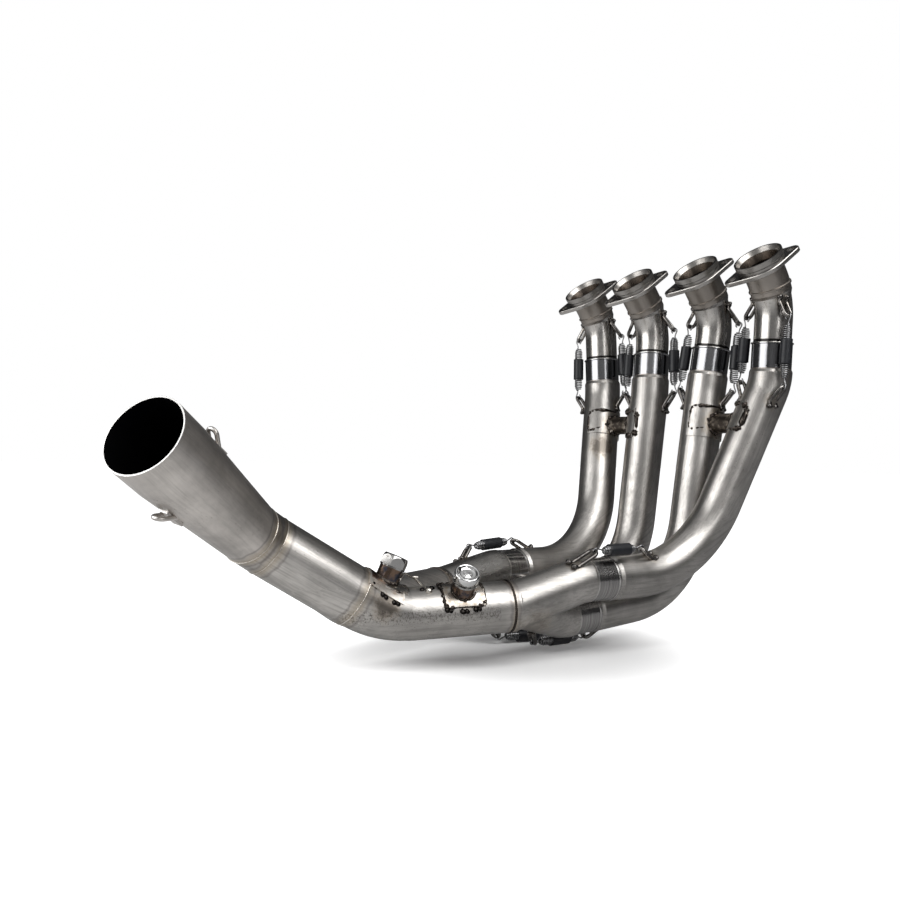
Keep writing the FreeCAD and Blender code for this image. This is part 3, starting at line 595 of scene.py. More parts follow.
@dataclass(frozen=True)
class Titanium:
    """Satin brushed titanium pipe, with polished slip bands, heat-tinted welds and dark bores; it carries
    painted shade in its gaps, bores and some patches, a painted dark reflection on its slip bands, and
    painted highlights on band edges and rim.
    """

    name: str
    axis: Vec = (0.0, 0.0, 1.0)
    colour: Colour = (0.52, 0.50, 0.475)
    roughness: float = 0.34
    turns: tuple[tuple[Vec, float], ...] = ()
    brushed: float = 0.42
    mirrors: tuple[Stretch, ...] = ()
    polished: tuple[Stretch, ...] = ()
    blasted: tuple[Stretch, ...] = ()
    # gaps: stretches painted dark as shadow
    gaps: tuple[Stretch, ...] = ()
    speckled: tuple[Stretch, ...] = ()
    seams: tuple[Seam, ...] = ()
    spots: tuple[Spot, ...] = ()
    bores: tuple[Bore, ...] = ()
    bright_end: Vec | None = None

    def build(self, effects: Effects) -> bpy.types.Material:
        """Make the material.

        Args:
            effects: The shared shader groups.

        Returns:
            The material, ready to assign.
        """
        material, graph = new_material(self.name)
        satin = graph.group(effects.satin, {"Axis": self.grain(graph), "Stretch": 0.965})
        colour, rough = self.bare(graph, satin)
        colour, rough = self.blast(graph, effects, satin, colour, rough)
        colour = self.heat(graph, effects, colour)
        colour, rough = self.polish(graph, effects, colour, rough)
        colour, rough = self.mirror(graph, effects, colour, rough)
        colour = self.spatter_and_shadow(graph, effects, colour)
        colour, rough = self.hollow(graph, effects, colour, rough)
        # the rim that faces bright_end gets a painted highlight
        if self.bright_end:
            end = graph.smooth(graph.facing(self.bright_end), 0.85, 0.95)
            colour = graph.mix(end, colour, RIM_HIGHLIGHT)
        graph.surface(colour, graph.math("MAXIMUM", rough, 0.05), satin.outputs["Height"], 0.22, 0.0003)
        return material

    def grain(self, graph: Graph) -> Socket | Vec:
        """Return the direction of the brushing, which turns with the pipe at some heights.

        Args:
            graph: The material's graph.

        Returns:
            The direction, or a socket that gives it.
        """
        if not self.turns:
            return self.axis
        height = graph.add("ShaderNodeSeparateXYZ", {0: graph.place()}).outputs[2]
        axis = graph.point(*self.axis)
        for way, level in self.turns:
            wander = graph.times(graph.noise(graph.place(), 120.0, 2.0), TURN_WANDER)
            passed = graph.math("GREATER_THAN", graph.plus(height, wander), level + TURN_WANDER / 2)
            onward = graph.scale(graph.vector("SUBTRACT", axis, way), passed)
            axis = graph.vector("ADD", onward, way)
        return axis

    def bare(self, graph: Graph, satin: bpy.types.Node) -> tuple[Socket, Socket]:
        """Make the untouched brushed metal.

        Args:
            graph: The material's graph.
            satin: The brushed-metal group in it.

        Returns:
            Its colour and its roughness.
        """
        tone = graph.smooth(satin.outputs["Tone"], 0.3, 0.72)
        colour = graph.mix(tone, shaded(self.colour, 0.76), shaded(self.colour, 1.16))
        colour = graph.mix(graph.times(satin.outputs["Stain"], 0.7 * self.brushed), colour, TARNISH)
        lines = graph.smooth(satin.outputs["Streak"], 0.42, 0.64)
        colour = graph.mix(graph.times(lines, self.brushed), colour, BRUSH_LINE)
        speck = graph.smooth(graph.noise(graph.place(), 620.0, 3.0, 0.8), 0.6, 0.68)
        patch = graph.smooth(graph.noise(graph.place(), 34.0, 2.0), 0.5, 0.62)
        colour = graph.mix(graph.times(graph.times(speck, patch), 0.75), colour, FLECK)
        rough = graph.plus(self.roughness - 0.12, graph.times(satin.outputs["Streak"], 0.26))
        return colour, rough

    def blast(self, graph: Graph, effects: Effects, satin: bpy.types.Node, colour: Socket,
              rough: Socket) -> tuple[Socket, Socket]:
        """Lay the dull, blasted stretches over the metal.

        Args:
            graph: The material's graph.
            effects: The shared shader groups.
            satin: The brushed-metal group in it.
            colour: The colour so far.
            rough: The roughness so far.

        Returns:
            The new colour and roughness.
        """
        for part in self.blasted:
            mask = self.stretch(graph, effects, part)["Mask"]
            colour = graph.mix(mask, colour, graph.mix(satin.outputs["Tone"], BLAST_DARK, BLAST_PALE))
            rough = graph.plus(rough, graph.times(mask, 0.08))
        return colour, rough

    def heat(self, graph: Graph, effects: Effects, colour: Socket) -> Socket:
        """Lay the heat of the welds and the burnt patches over the metal; on some patches the dark core is
        painted shade.

        Args:
            graph: The material's graph.
            effects: The shared shader groups.
            colour: The colour so far.

        Returns:
            The new colour.
        """
        for seam in self.seams:
            tint = graph.group(effects.seam, {"Centre": seam.centre, "Normal": seam.normal,
                                              "Width": seam.width, "Reach": seam.reach}).outputs
            colour = graph.mix(graph.times(tint["Tint"], 0.5), colour, HEAT_TAN)
            colour = graph.mix(graph.times(tint["Halo"], 0.5), colour, HEAT_GREY)
        for spot in self.spots:
            burn_and_shade = graph.group(effects.scorch_and_shade, {"Centre": spot.centre, "Radius": spot.radius}).outputs
            colour = graph.mix(graph.times(burn_and_shade["Rim"], 0.6 * spot.strength), colour, BURNT_RIM)
            colour = graph.mix(graph.times(burn_and_shade["Core"], spot.strength), colour, BURN_AND_SHADE_CORE)
        return colour

    def polish(self, graph: Graph, effects: Effects, colour: Socket, rough: Socket) -> tuple[Socket, Socket]:
        """Lay the lined, polished bands over the metal, with a painted highlight along their far edge.

        Args:
            graph: The material's graph.
            effects: The shared shader groups.
            colour: The colour so far.
            rough: The roughness so far.

        Returns:
            The new colour and roughness.
        """
        for part in self.polished:
            band = self.stretch(graph, effects, part)
            lines = graph.smooth(graph.noise(graph.point(band["Along"]), 700.0, 2.0, 0.8), 0.4, 0.62)
            colour = graph.mix(band["Mask"], colour, graph.mix(lines, POLISH_DARK, POLISH_PALE))
            rough = graph.minus(rough, graph.times(band["Mask"], 0.17))
            # painted highlight along the band's far edge
            colour = graph.mix(graph.times(band["Edge"], 0.8), colour, EDGE_HIGHLIGHT)
        return colour, rough

    def mirror(self, graph: Graph, effects: Effects, colour: Socket, rough: Socket) -> tuple[Socket, Socket]:
        """Lay the mirror-bright slip bands over the metal, darkened as painted dark reflection and with a
        painted highlight just under the lip.

        Args:
            graph: The material's graph.
            effects: The shared shader groups.
            colour: The colour so far.
            rough: The roughness so far.

        Returns:
            The new colour and roughness.
        """
        for part in self.mirrors:
            band = self.stretch(graph, effects, part)
            colour = graph.mix(graph.times(band["After"], 0.6), colour, MIRROR_SPECK)
            colour = graph.mix(graph.times(band["Edge"], 0.6), colour, MIRROR_EDGE)
            # painted dark reflection on the band
            colour = graph.mix(band["Mask"], colour, MIRROR_PAINTED_DARK)
            # painted highlight just under the lip
            lip = graph.times(band["Mask"], graph.smooth(band["Along"], 0.0007, 0.0013, 1.0, 0.0))
            colour = graph.mix(lip, colour, LIP_HIGHLIGHT)
            rough = graph.minus(rough, graph.times(band["Mask"], 0.2))
        return colour, rough

    def spatter_and_shadow(self, graph: Graph, effects: Effects, colour: Socket) -> Socket:
        """Lay the spatter and the painted shadow in the gaps over the metal.

        Args:
            graph: The material's graph.
            effects: The shared shader groups.
            colour: The colour so far.

        Returns:
            The new colour.
        """
        for part in self.speckled:
            band = self.stretch(graph, effects, part)
            share = graph.math("DIVIDE", band["Along"], part.length)
            hump = graph.times(graph.times(share, graph.minus(1.0, share)), 4.0)
            grain = graph.plus(graph.noise(graph.place(), 560.0, 4.0, 0.8), graph.times(hump, 0.12))
            dots = graph.times(graph.smooth(grain, 0.6, 0.68), graph.times(band["Mask"], 0.6))
            colour = graph.mix(dots, colour, SPATTER)
        # the gaps get painted shadow
        for part in self.gaps:
            colour = graph.mix(self.stretch(graph, effects, part)["Mask"], colour, SHADOW_GAP)
        return colour

    def hollow(self, graph: Graph, effects: Effects, colour: Socket, rough: Socket) -> tuple[Socket, Socket]:
        """Lay the insides of the bores, dark with soot and painted shade, over the metal.

        Args:
            graph: The material's graph.
            effects: The shared shader groups.
            colour: The colour so far.
            rough: The roughness so far.

        Returns:
            The new colour and roughness.
        """
        for bore in self.bores:
            mask = graph.group(effects.bore, {
                "Start": bore.start, "Axis": bore.axis, "Near radius": bore.near, "Far radius": bore.far,
                "Length": bore.length, "Past": bore.past}).outputs["Mask"]
            colour = graph.mix(mask, colour, bore.colour)
            rough = graph.plus(rough, graph.times(mask, bore.dulled))
        return colour, rough

    @staticmethod
    def stretch(graph: Graph, effects: Effects, part: Stretch) -> object:
        """Place the masks of a stretch of pipe and return them by name."""
        return graph.group(effects.band, {"Start": part.start, "Axis": part.axis, "Length": part.length,
                                          "Reach": part.reach}).outputs


@dataclass(frozen=True)
class Turned:
    """Machined ring or plate with turning marks and bright edges, whose flat faces are painted dark as
    painted shade.
    """

    name: str
    centre: Vec
    axis: Vec
    # face: colour of the flat faces, painted dark as painted shade
    face: Colour = (0.08, 0.076, 0.072)
    edge: Colour = (0.52, 0.50, 0.475)

    def build(self, effects: Effects) -> bpy.types.Material:
        """Make the material.

        Args:
            effects: The shared shader groups.

        Returns:
            The material, ready to assign.
        """
        material, graph = new_material(self.name)
        rings = graph.group(effects.lathe, {"Centre": self.centre, "Axis": self.axis}).outputs["Rings"]
        # the flat faces get the face colour: painted shade
        flat = graph.smooth(graph.math("ABSOLUTE", graph.facing(self.axis)), 0.9, 0.97)
        colour = graph.mix(flat, self.edge, self.face)
        marks = graph.smooth(rings, 0.4, 0.7)
        colour = graph.mix(graph.times(marks, 0.35), colour, shaded(self.edge, 0.6))
        stain = graph.smooth(graph.noise(graph.place(), 70.0, 4.0, 0.65), 0.5, 0.75)
        colour = graph.mix(graph.times(stain, 0.4), colour, OIL_STAIN)
        graph.surface(colour, graph.plus(0.2, graph.times(rings, 0.22)), rings, 0.15)
        return material


@dataclass(frozen=True)
class Steel:
    """Bare steel of wires, beads and plugs, with tarnish in patches."""

    name: str
    colour: Colour
    tarnish: Colour
    roughness: float
    share: float
    scale: float = 180.0

    def build(self, effects: Effects) -> bpy.types.Material:
        """Make the material.

        Args:
            effects: The shared shader groups.

        Returns:
            The material, ready to assign.
        """
        material, graph = new_material(self.name)
        grain = graph.noise(graph.place(), self.scale, 4.0, 0.65)
        patches = graph.smooth(grain, 0.62 - 0.25 * self.share, 0.72)
        satin = graph.group(effects.satin, {"Axis": (0.0, 0.0, 1.0), "Stretch": 0.5})
        rough = graph.plus(self.roughness, graph.times(patches, 0.16))
        graph.surface(graph.mix(patches, self.colour, self.tarnish), rough, satin.outputs["Height"], 0.1)
        return material


@dataclass(frozen=True)
class Boss:
    """A pale saddle plate on a pipe, with a neck burnt brown and blue above it."""

    name: str
    centre: Vec
    axis: Vec
    plate: float

    def build(self, effects: Effects) -> bpy.types.Material:
        """Make the material.

        Args:
            effects: The shared shader groups.

        Returns:
            The material, ready to assign.
        """
        material, graph = new_material(self.name)
        place = graph.place()
        off = graph.group(effects.lathe, {"Centre": self.centre, "Axis": self.axis}).outputs["Off"]
        ragged = graph.plus(off, graph.times(graph.noise(place, 260.0), 0.001))
        neck = graph.smooth(ragged, self.plate, self.plate + 0.0008)
        patches = graph.smooth(graph.noise(place, 150.0, 4.0, 0.65), 0.4, 0.65)
        pale = graph.mix(patches, PLATE_PALE, PLATE_TAN)
        burnt = graph.mix(patches, NECK_BROWN, NECK_BLUE)
        rough = graph.plus(0.2, graph.times(patches, 0.14))
        satin = graph.group(effects.satin, {"Axis": self.axis, "Stretch": 0.8})
        graph.surface(graph.mix(neck, pale, burnt), rough, satin.outputs["Height"], 0.15)
        return material


@dataclass(frozen=True)
class Rubber:
    """Matt black rubber sleeve with fine dust and moulding grain."""

    name: str = "sleeve rubber"

    def build(self) -> bpy.types.Material:
        """Make the material and return it."""
        material, graph = new_material(self.name)
        place = graph.place()
        dust = graph.smooth(graph.noise(place, 260.0, 5.0, 0.7), 0.5, 0.8)
        rough = graph.plus(0.4, graph.times(dust, 0.25))
        graph.surface(graph.mix(dust, RUBBER_BLACK, RUBBER_DUST), rough, graph.noise(place, 900.0, 3.0, 0.6),
                      0.3, 0.0003, metallic=0.0)
        return material


# meshes

# Directions that no axis here comes near, from which sweeps start.
SWEEP_HINT = Vector((0.31, 0.52, 0.8))
RING_HINT = Vector((0.2, 0.3, 0.9))


def closed_mesh(name: str, mesh: bmesh.types.BMesh, smooth: bool = True) -> bpy.types.Mesh:
    """Turn a closed shape into a mesh whose faces look outwards.

    Args:
        name: Name of the mesh.
        mesh: The shape, which is freed.
        smooth: Whether it is shaded smooth.

    Returns:
        The mesh.
    """
    bmesh.ops.recalc_face_normals(mesh, faces=mesh.faces[:])
    made = bpy.data.meshes.new(name)
    mesh.to_mesh(made)
    mesh.free()
    for face in made.polygons:
        face.use_smooth = smooth
    return made


def add_piece(name: str, mesh: bpy.types.Mesh, material: bpy.types.Material) -> bpy.types.Object:
    """Turn a mesh into a piece of the header.

    Args:
        name: Name of the piece.
        mesh: Its mesh, in the row frame.
        material: Its finish.

    Returns:
        The new object, riding on the header's body.
    """
    piece = bpy.data.objects.new(name, mesh)
    bpy.context.scene.collection.objects.link(piece)
    mesh.materials.append(material)
    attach(piece, BODY)
    LOG.info("%s: %d faces", name, len(mesh.polygons))
    return piece


class Rod:
    """Sweeps a round section along a list of points, open or closed."""

    def __init__(self, sides: int = 10) -> None:
        """Keep the number of sides and start an empty mesh."""
        self.sides = sides
        self.mesh = bmesh.new()

    def sweep(self, points: list[Vector], radii: list[float], closed: bool = False) -> None:
        """Add one rod.

        Args:
            points: Its centre line.
            radii: Its radius at each point.
            closed: Whether the last point joins the first.
        """
        count = len(points)
        tangents = []
        for k in range(count):
            before = points[k - 1] if closed or k else points[k]
            after = points[(k + 1) % count] if closed or k < count - 1 else points[k]
            tangents.append(unit(after - before))
        side = square_to(SWEEP_HINT, tangents[0])
        rings = []
        for point, tangent, radius in zip(points, tangents, radii):
            side = square_to(side, tangent)
            up = tangent.cross(side)
            rings.append([self.mesh.verts.new(point + around(side, up, a) * radius)
                          for a in full_turn(self.sides)])
        shift = 0
        if closed:
            first = rings[0]
            gaps = [(rings[-1][k].co - first[0].co).length for k in range(self.sides)]
            shift = gaps.index(min(gaps))
        pairs = list(zip(rings, rings[1:], [0] * count))
        if closed:
            pairs.append((rings[-1], rings[0], shift))
        for low, high, offset in pairs:
            for k in range(self.sides):
                n = (k + 1) % self.sides
                if offset:
                    self.mesh.faces.new((low[(k + offset) % self.sides], low[(n + offset) % self.sides],
                                         high[n], high[k]))
                else:
                    self.mesh.faces.new((low[k], low[n], high[n], high[k]))
        if not closed:
            self.mesh.faces.new(list(reversed(rings[0])))
            self.mesh.faces.new(rings[-1])

    def ball(self, centre: Vector, radius: float, squash: Vector = Vector((0, 0, 0)),
             seed: float = 0.0) -> None:
        """Add a lumpy drop of weld metal.

        Args:
            centre: Its middle.
            radius: Its mean radius.
            squash: Direction in which it is flattened, as long as the share taken off.
            seed: Offset of its lumps.
        """
        made = bmesh.ops.create_icosphere(self.mesh, subdivisions=2, radius=radius)
        flat = squash.length
        way = unit(squash) if flat else Vector((0, 0, 1))
        for vert in made["verts"]:
            lump = 1 + 0.22 * noise.noise(vert.co * (0.9 / radius) + Vector((seed, 3.1 * seed, 0)))
            co = vert.co * lump
            vert.co = centre + co - way * (co.dot(way) * flat)

    def finish(self, name: str) -> bpy.types.Mesh:
        """Return the rods as one smooth-shaded mesh."""
        return closed_mesh(name, self.mesh)


def add_bead(name: str, points: list[Vector], radii: list[float],
             metal: bpy.types.Material) -> bpy.types.Object:
    """Lay a closed bead of weld metal and add it as a piece.

    Args:
        name: Name of the piece.
        points: Its centre line.
        radii: Its radius at each point.
        metal: Its finish.

    Returns:
        The new object.
    """
    rod = Rod(8)
    rod.sweep(points, radii, closed=True)
    return add_piece(name, rod.finish(name), metal)


def turned(profile: list[tuple[float, float]], foot: Vector, axis: Vector, sides: int = 48) -> bpy.types.Mesh:
    """Turn a profile into a closed solid.

    Args:
        profile: Radius and height of each corner, from the axis out and back to the axis.
        foot: Point from which heights are counted.
        axis: Direction of the heights.
        sides: Number of sides round the axis.

    Returns:
        The smooth-shaded mesh.
    """
    way = unit(axis)
    first, second = cross_pair(way, SWEEP_HINT)
    mesh = bmesh.new()
    low = mesh.verts.new(foot + way * profile[0][1])
    high = mesh.verts.new(foot + way * profile[-1][1])
    rings = [[mesh.verts.new(foot + way * height + around(first, second, a) * radius)
              for a in full_turn(sides)] for radius, height in profile[1:-1]]
    for k in range(sides):
        n = (k + 1) % sides
        mesh.faces.new((low, rings[0][n], rings[0][k]))
        mesh.faces.new((high, rings[-1][k], rings[-1][n]))
        for before, after in zip(rings, rings[1:]):
            mesh.faces.new((before[k], before[n], after[n], after[k]))
    return closed_mesh("turned", mesh)


def rounded(points: list[Vector], step: float) -> list[Vector]:
    """Lay an even, smooth line through control points.

    Args:
        points: The control points, ends included.
        step: Distance between the new points.

    Returns:
        Points of a Catmull-Rom curve.
    """
    chain = [points[0] * 2 - points[1], *points, points[-1] * 2 - points[-2]]
    line = []
    for a, b, c, d in zip(chain, chain[1:], chain[2:], chain[3:]):
        parts = max(2, round((c - b).length / step))
        for k in range(parts):
            t = k / parts
            line.append(0.5 * ((2 * b) + (c - a) * t + (2 * a - 5 * b + 4 * c - d) * t * t
                               + (3 * b - a - 3 * c + d) * t * t * t))
    line.append(points[-1].copy())
    return line


@dataclass
class Hook:
    """A bent wire staple welded to a pipe, which one end of a spring pulls on."""

    name: str
    foot: Vector
    crown: Vector
    along: Vector
    wire: float = 0.0019
    half_gap: float = 0.0045
    tail_length: float = 0.0065
    tail_lift: float = 0.0012
    foot_drop: float = 0.0034

    def line(self) -> list[Vector]:
        """Return the centre line of the wire, from foot to foot.

        Returns:
            Points of the wire's middle.
        """
        climb = unit(self.crown - self.foot)
        aside = unit(climb.cross(self.along))
        half = self.half_gap
        run = climb.dot(self.along)
        lift = unit(climb - self.along * run)
        tail = self.along * math.copysign(self.tail_length, -run) + lift * self.tail_lift
        arc = [self.crown - climb * half + around(aside, climb, a) * half
               for a in (math.pi * k / 10 for k in range(11))]
        legs = [self.foot + aside * (half * s) for s in (1, -1)]
        return [legs[0] + tail, legs[0] + tail * 0.5 + lift * 0.0006, legs[0] + climb * 0.001,
                legs[0].lerp(arc[0], 0.5), *arc, legs[1].lerp(arc[-1], 0.5),
                legs[1] + climb * 0.001, legs[1] + tail * 0.5 + lift * 0.0006, legs[1] + tail]

    def build(self, metal: bpy.types.Material) -> bpy.types.Object:
        """Make the hook with a drop of weld at each foot.

        Args:
            metal: Its finish.

        Returns:
            The new object.
        """
        rod = Rod()
        line = self.line()
        rod.sweep(line, [self.wire] * len(line))
        climb = unit(self.crown - self.foot)
        for k, foot in enumerate((line[1], line[-2])):
            rod.ball(foot - climb * 0.0006, self.foot_drop, climb * 0.35, seed=k + self.foot.x * 100)
        return add_piece(self.name, rod.finish(self.name), metal)


@dataclass
class CoilSpring:
    """A tension spring between two hooks, with a rubber sleeve over its middle."""

    name: str
    crowns: tuple[Vector, Vector]
    outward: Vector
    sleeve_length: float = 0.025
    sleeve_radius: float = 0.0059
    wire: float = 0.00072
    coil_radius: float = 0.0039
    taper_radius: float = 0.0020
    taper: float = 0.0045
    end: float = 0.009
    pitch: float = 0.0020
    hidden_pitch: float = 0.005
    steps: int = 14
    loop_radius: float = 0.0031
    sleeve_sides: int = 32
    phase: float = 0.0

    def axes(self) -> tuple[Vector, Vector, Vector, Vector]:
        """Return the spring's own directions and place.

        Returns:
            The directions along, out of and beside the spring, and its middle.
        """
        first, last = self.crowns
        axis = unit(last - first)
        return (axis, *cross_pair(axis, self.outward), (first + last) / 2)

    def radius_at(self, height: float, half: float) -> float:
        """Return the radius of the coil at a height from its middle."""
        return self.taper_radius + (self.coil_radius - self.taper_radius) * min(
            1.0, (half - abs(height)) / self.taper) ** 0.7

    def build(self, steel: bpy.types.Material) -> bpy.types.Object:
        """Make the wire: a loop over each hook and the coil between them.

        Args:
            steel: The wire's finish.

        Returns:
            The new object.
        """
        first, last = self.crowns
        axis, out, side, middle = self.axes()
        half = (last - first).length / 2 - self.end
        coil = []
        height, angle = -half, self.phase
        while height < half:
            radius = self.radius_at(height, half)
            coil.append(middle + axis * height + around(out, side, angle) * radius)
            hidden = abs(height) < self.sleeve_length / 2 - 0.002
            height += (self.hidden_pitch if hidden else self.pitch) / self.steps
            angle += 2 * math.pi / self.steps
        line = [*self.loop(first, -axis, out), *coil, *reversed(self.loop(last, axis, out))]
        rod = Rod(7)
        rod.sweep(line, [self.wire] * len(line))
        return add_piece(self.name, rod.finish(self.name), steel)

    def loop(self, crown: Vector, away: Vector, out: Vector) -> list[Vector]:
        """Return the wire's open loop round a hook's crown, from its tip to the coil.

        Args:
            crown: Middle of the hook's wire.
            away: Direction along the spring, from the coil to the hook.
            out: Direction away from the pipe.

        Returns:
            Points of the loop and its shank.
        """
        turn = [crown - away * 0.0004 + around(away, out, a) * self.loop_radius
                for a in (math.radians(-150 + 255 * k / 13) for k in range(14))]
        shank = rounded([turn[-1], crown - away * 0.0045 + out * 0.0016, crown - away * 0.0078 + out * 0.0009,
                         crown - away * (self.end - 0.0002) + out * self.taper_radius * 0.9], 0.001)
        return [*turn[:-1], *shank]

    def sleeve(self, rubber: bpy.types.Material) -> bpy.types.Object:
        """Make the rubber sleeve: a short hose with rounded ends that bulges a little over the turns.

        Args:
            rubber: The sleeve's finish.

        Returns:
            The new object.
        """
        axis, out, side, middle = self.axes()
        half = self.sleeve_length / 2
        bore = self.coil_radius + self.wire + 0.0001
        edge = 0.0007
        profile = [(-half + 0.0002, bore), (-half, bore + 0.0003)]
        profile += [(-half + edge * (1 - math.cos(a)), self.sleeve_radius - edge + edge * math.sin(a))
                    for a in (math.pi / 2 * k / 3 for k in range(4))]
        profile += [(-half + edge + (2 * half - 2 * edge) * k / 12, self.sleeve_radius - 0.00012 * (k % 2))
                    for k in range(1, 12)]
        profile += [(half - edge * (1 - math.cos(a)), self.sleeve_radius - edge + edge * math.sin(a))
                    for a in (math.pi / 2 * k / 3 for k in range(3, -1, -1))]
        profile += [(half, bore + 0.0003), (half - 0.0002, bore)]
        mesh = bmesh.new()
        rings = []
        for height, radius in profile:
            rings.append([mesh.verts.new(middle + axis * height + around(out, side, a) * radius)
                          for a in full_turn(self.sleeve_sides)])
        for low, high in zip(rings, rings[1:] + rings[:1]):
            for k in range(self.sleeve_sides):
                n = (k + 1) % self.sleeve_sides
                mesh.faces.new((low[k], low[n], high[n], high[k]))
        return add_piece(self.name + "_sleeve", closed_mesh(self.name, mesh), rubber)


@dataclass
class SpringSet:
    """All springs with their hooks and sleeves."""

    steel: bpy.types.Material
    hook_metal: bpy.types.Material
    rubber: bpy.types.Material

    def build(self) -> None:
        """Make each spring in the place of its CAD nodes."""
        for number, (name, points) in enumerate(SPRINGS.items()):
            foot, crown, far_crown, far_foot = (Vector(p) for p in points)
            along = unit(far_crown - crown)
            outward = (crown - foot) + (far_crown - far_foot)
            spring = CoilSpring("coil_" + name, (crown, far_crown), square_to(outward, along),
                                phase=number * 0.7)
            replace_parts(spring.build(self.steel), "spring_" + name)
            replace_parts(spring.sleeve(self.rubber), "sleeve_" + name)
            Hook("hook_" + name + "_a", foot, crown, along).build(self.hook_metal)
            Hook("hook_" + name + "_b", far_foot, far_crown, along).build(self.hook_metal)


@dataclass
class WeldRing:
    """A welded seam round a pipe: a thin bead with ripples."""

    name: str
    centre: Vector
    axis: Vector
    normal: Vector
    radius: float
    bead: float
    ripple: float = 0.0017

    def build(self, metal: bpy.types.Material) -> bpy.types.Object:
        """Make the bead along the seam.

        Args:
            metal: Its finish.

        Returns:
            The new object.
        """
        axis, normal = unit(self.axis), unit(self.normal)
        first, second = cross_pair(axis, RING_HINT)
        count = max(60, int(2 * math.pi * self.radius / (self.ripple / 4)))
        points, radii = [], []
        for k, angle in enumerate(full_turn(count)):
            off = around(first, second, angle) * self.radius
            points.append(self.centre + off - axis * (off.dot(normal) / axis.dot(normal)))
            phase = k / count * (2 * math.pi * self.radius / self.ripple)
            radii.append(self.bead * (0.9 + 0.25 * abs(math.sin(math.pi * phase))))
        return add_bead(self.name, points, radii, metal)


@dataclass
class PadBead:
    """A ragged bead round a plate that is welded on a pipe."""

    name: str
    centre: Vector
    axis: Vector
    outward: Vector
    radius: float
    half_length: float
    half_arc: float
    bead: float
    seed: float
    bow: float = 0.0
    ragged: float = 1.5
    steps: int = 150
    squareness: float = 0.3

    def build(self, metal: bpy.types.Material) -> bpy.types.Object:
        """Make the bead along the plate's outline, whose far end may bow inwards.

        Args:
            metal: Its finish.

        Returns:
            The new object.
        """
        axis = unit(self.axis)
        out, side = cross_pair(axis, self.outward)
        points, radii = [], []
        for angle in full_turn(self.steps):
            along = self.half_length * math.copysign(abs(math.cos(angle)) ** self.squareness, math.cos(angle))
            turn = self.half_arc * math.copysign(abs(math.sin(angle)) ** self.squareness, math.sin(angle))
            if along > 0:
                along -= self.bow * (1 - (turn / self.half_arc) ** 2)
            wave = loop_noise(angle, 0.37, 6.0, self.seed)
            away = around(out, side, turn) * self.radius
            points.append(self.centre + axis * (along + 0.0012 * wave) + away)
            radii.append(self.bead * max(0.2, 1.0 + self.ragged * wave))
        return add_bead(self.name, points, radii, metal)


@dataclass
class JunctionBead:
    """The bead where a small pipe runs into the side of a large one."""

    name: str
    start: Vector
    way: Vector
    radius: float
    host: Vector
    host_axis: Vector
    host_radius: float
    bead: float
    seed: float
    steps: int = 96

    def build(self, metal: bpy.types.Material) -> bpy.types.Object:
        """Make the bead along the line in which the two pipes meet.

        Args:
            metal: Its finish.

        Returns:
            The new object.
        """
        way, axis = unit(self.way), unit(self.host_axis)
        first, second = cross_pair(way, RING_HINT)
        flat = way - axis * way.dot(axis)
        square = flat.dot(flat)
        points, radii = [], []
        for angle in full_turn(self.steps):
            origin = self.start + around(first, second, angle) * self.radius
            gap = origin - self.host
            gap -= axis * gap.dot(axis)
            half_b = gap.dot(flat)
            rest = half_b * half_b - square * (gap.dot(gap) - self.host_radius ** 2)
            reach = (-half_b - math.sqrt(max(rest, 0.0))) / square
            wave = loop_noise(angle, 0.0, 4.0, self.seed)
            points.append(origin + way * (reach - 0.0006))
            radii.append(self.bead * max(0.5, 1.0 + 1.2 * wave))
        return add_bead(self.name, points, radii, metal)


@dataclass
class SaddlePlate:
    """A thin plate that lies on a pipe, wider towards one side."""

    name: str
    node: str
    centre: Vector
    axis: Vector
    outward: Vector
    first: float = -0.0150
    last: float = 0.0205
    back_turn: float = -32.0
    front_turns: tuple[float, float] = (58.0, 46.0)
    sunk: float = 0.0004
    thickness: float = 0.0011
    reach: float = 0.06
    steps: int = 24

    def build(self, metal: bpy.types.Material) -> bpy.types.Object:
        """Lay a grid of points on the pipe and thicken it into a plate.

        Args:
            metal: Its finish.

        Returns:
            The new object.
        """
        tree = BVHTree.FromObject(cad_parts[self.node], bpy.context.evaluated_depsgraph_get())
        axis = unit(self.axis)
        out, side = cross_pair(axis, self.outward)
        if side.x < 0:
            side = -side
        mesh = bmesh.new()
        layers = []
        for rise in (-self.sunk, self.thickness):
            rows = []
            for k in range(self.steps + 1):
                share = k / self.steps
                along = self.first + (self.last - self.first) * share
                front = self.front_turns[0] + (self.front_turns[1] - self.front_turns[0]) * share
                row = []
                for n in range(self.steps + 1):
                    turn = math.radians(self.back_turn + (front - self.back_turn) * n / self.steps)
                    away = around(out, side, turn)
                    hit = tree.ray_cast(self.centre + axis * along + away * self.reach, -away)[0]
                    row.append(mesh.verts.new(hit + away * rise))
                rows.append(row)
            layers.append(rows)
        low, high = layers
        edge = range(self.steps)
        for k in edge:
            for n in edge:
                for rows in layers:
                    mesh.faces.new((rows[k][n], rows[k + 1][n], rows[k + 1][n + 1], rows[k][n + 1]))
        for k in edge:
            for n in (0, self.steps):
                mesh.faces.new((low[k][n], low[k + 1][n], high[k + 1][n], high[k][n]))
                mesh.faces.new((low[n][k], low[n][k + 1], high[n][k + 1], high[n][k]))
        return add_piece(self.name, closed_mesh(self.name, mesh, smooth=False), metal)


# finishes of the CAD nodes

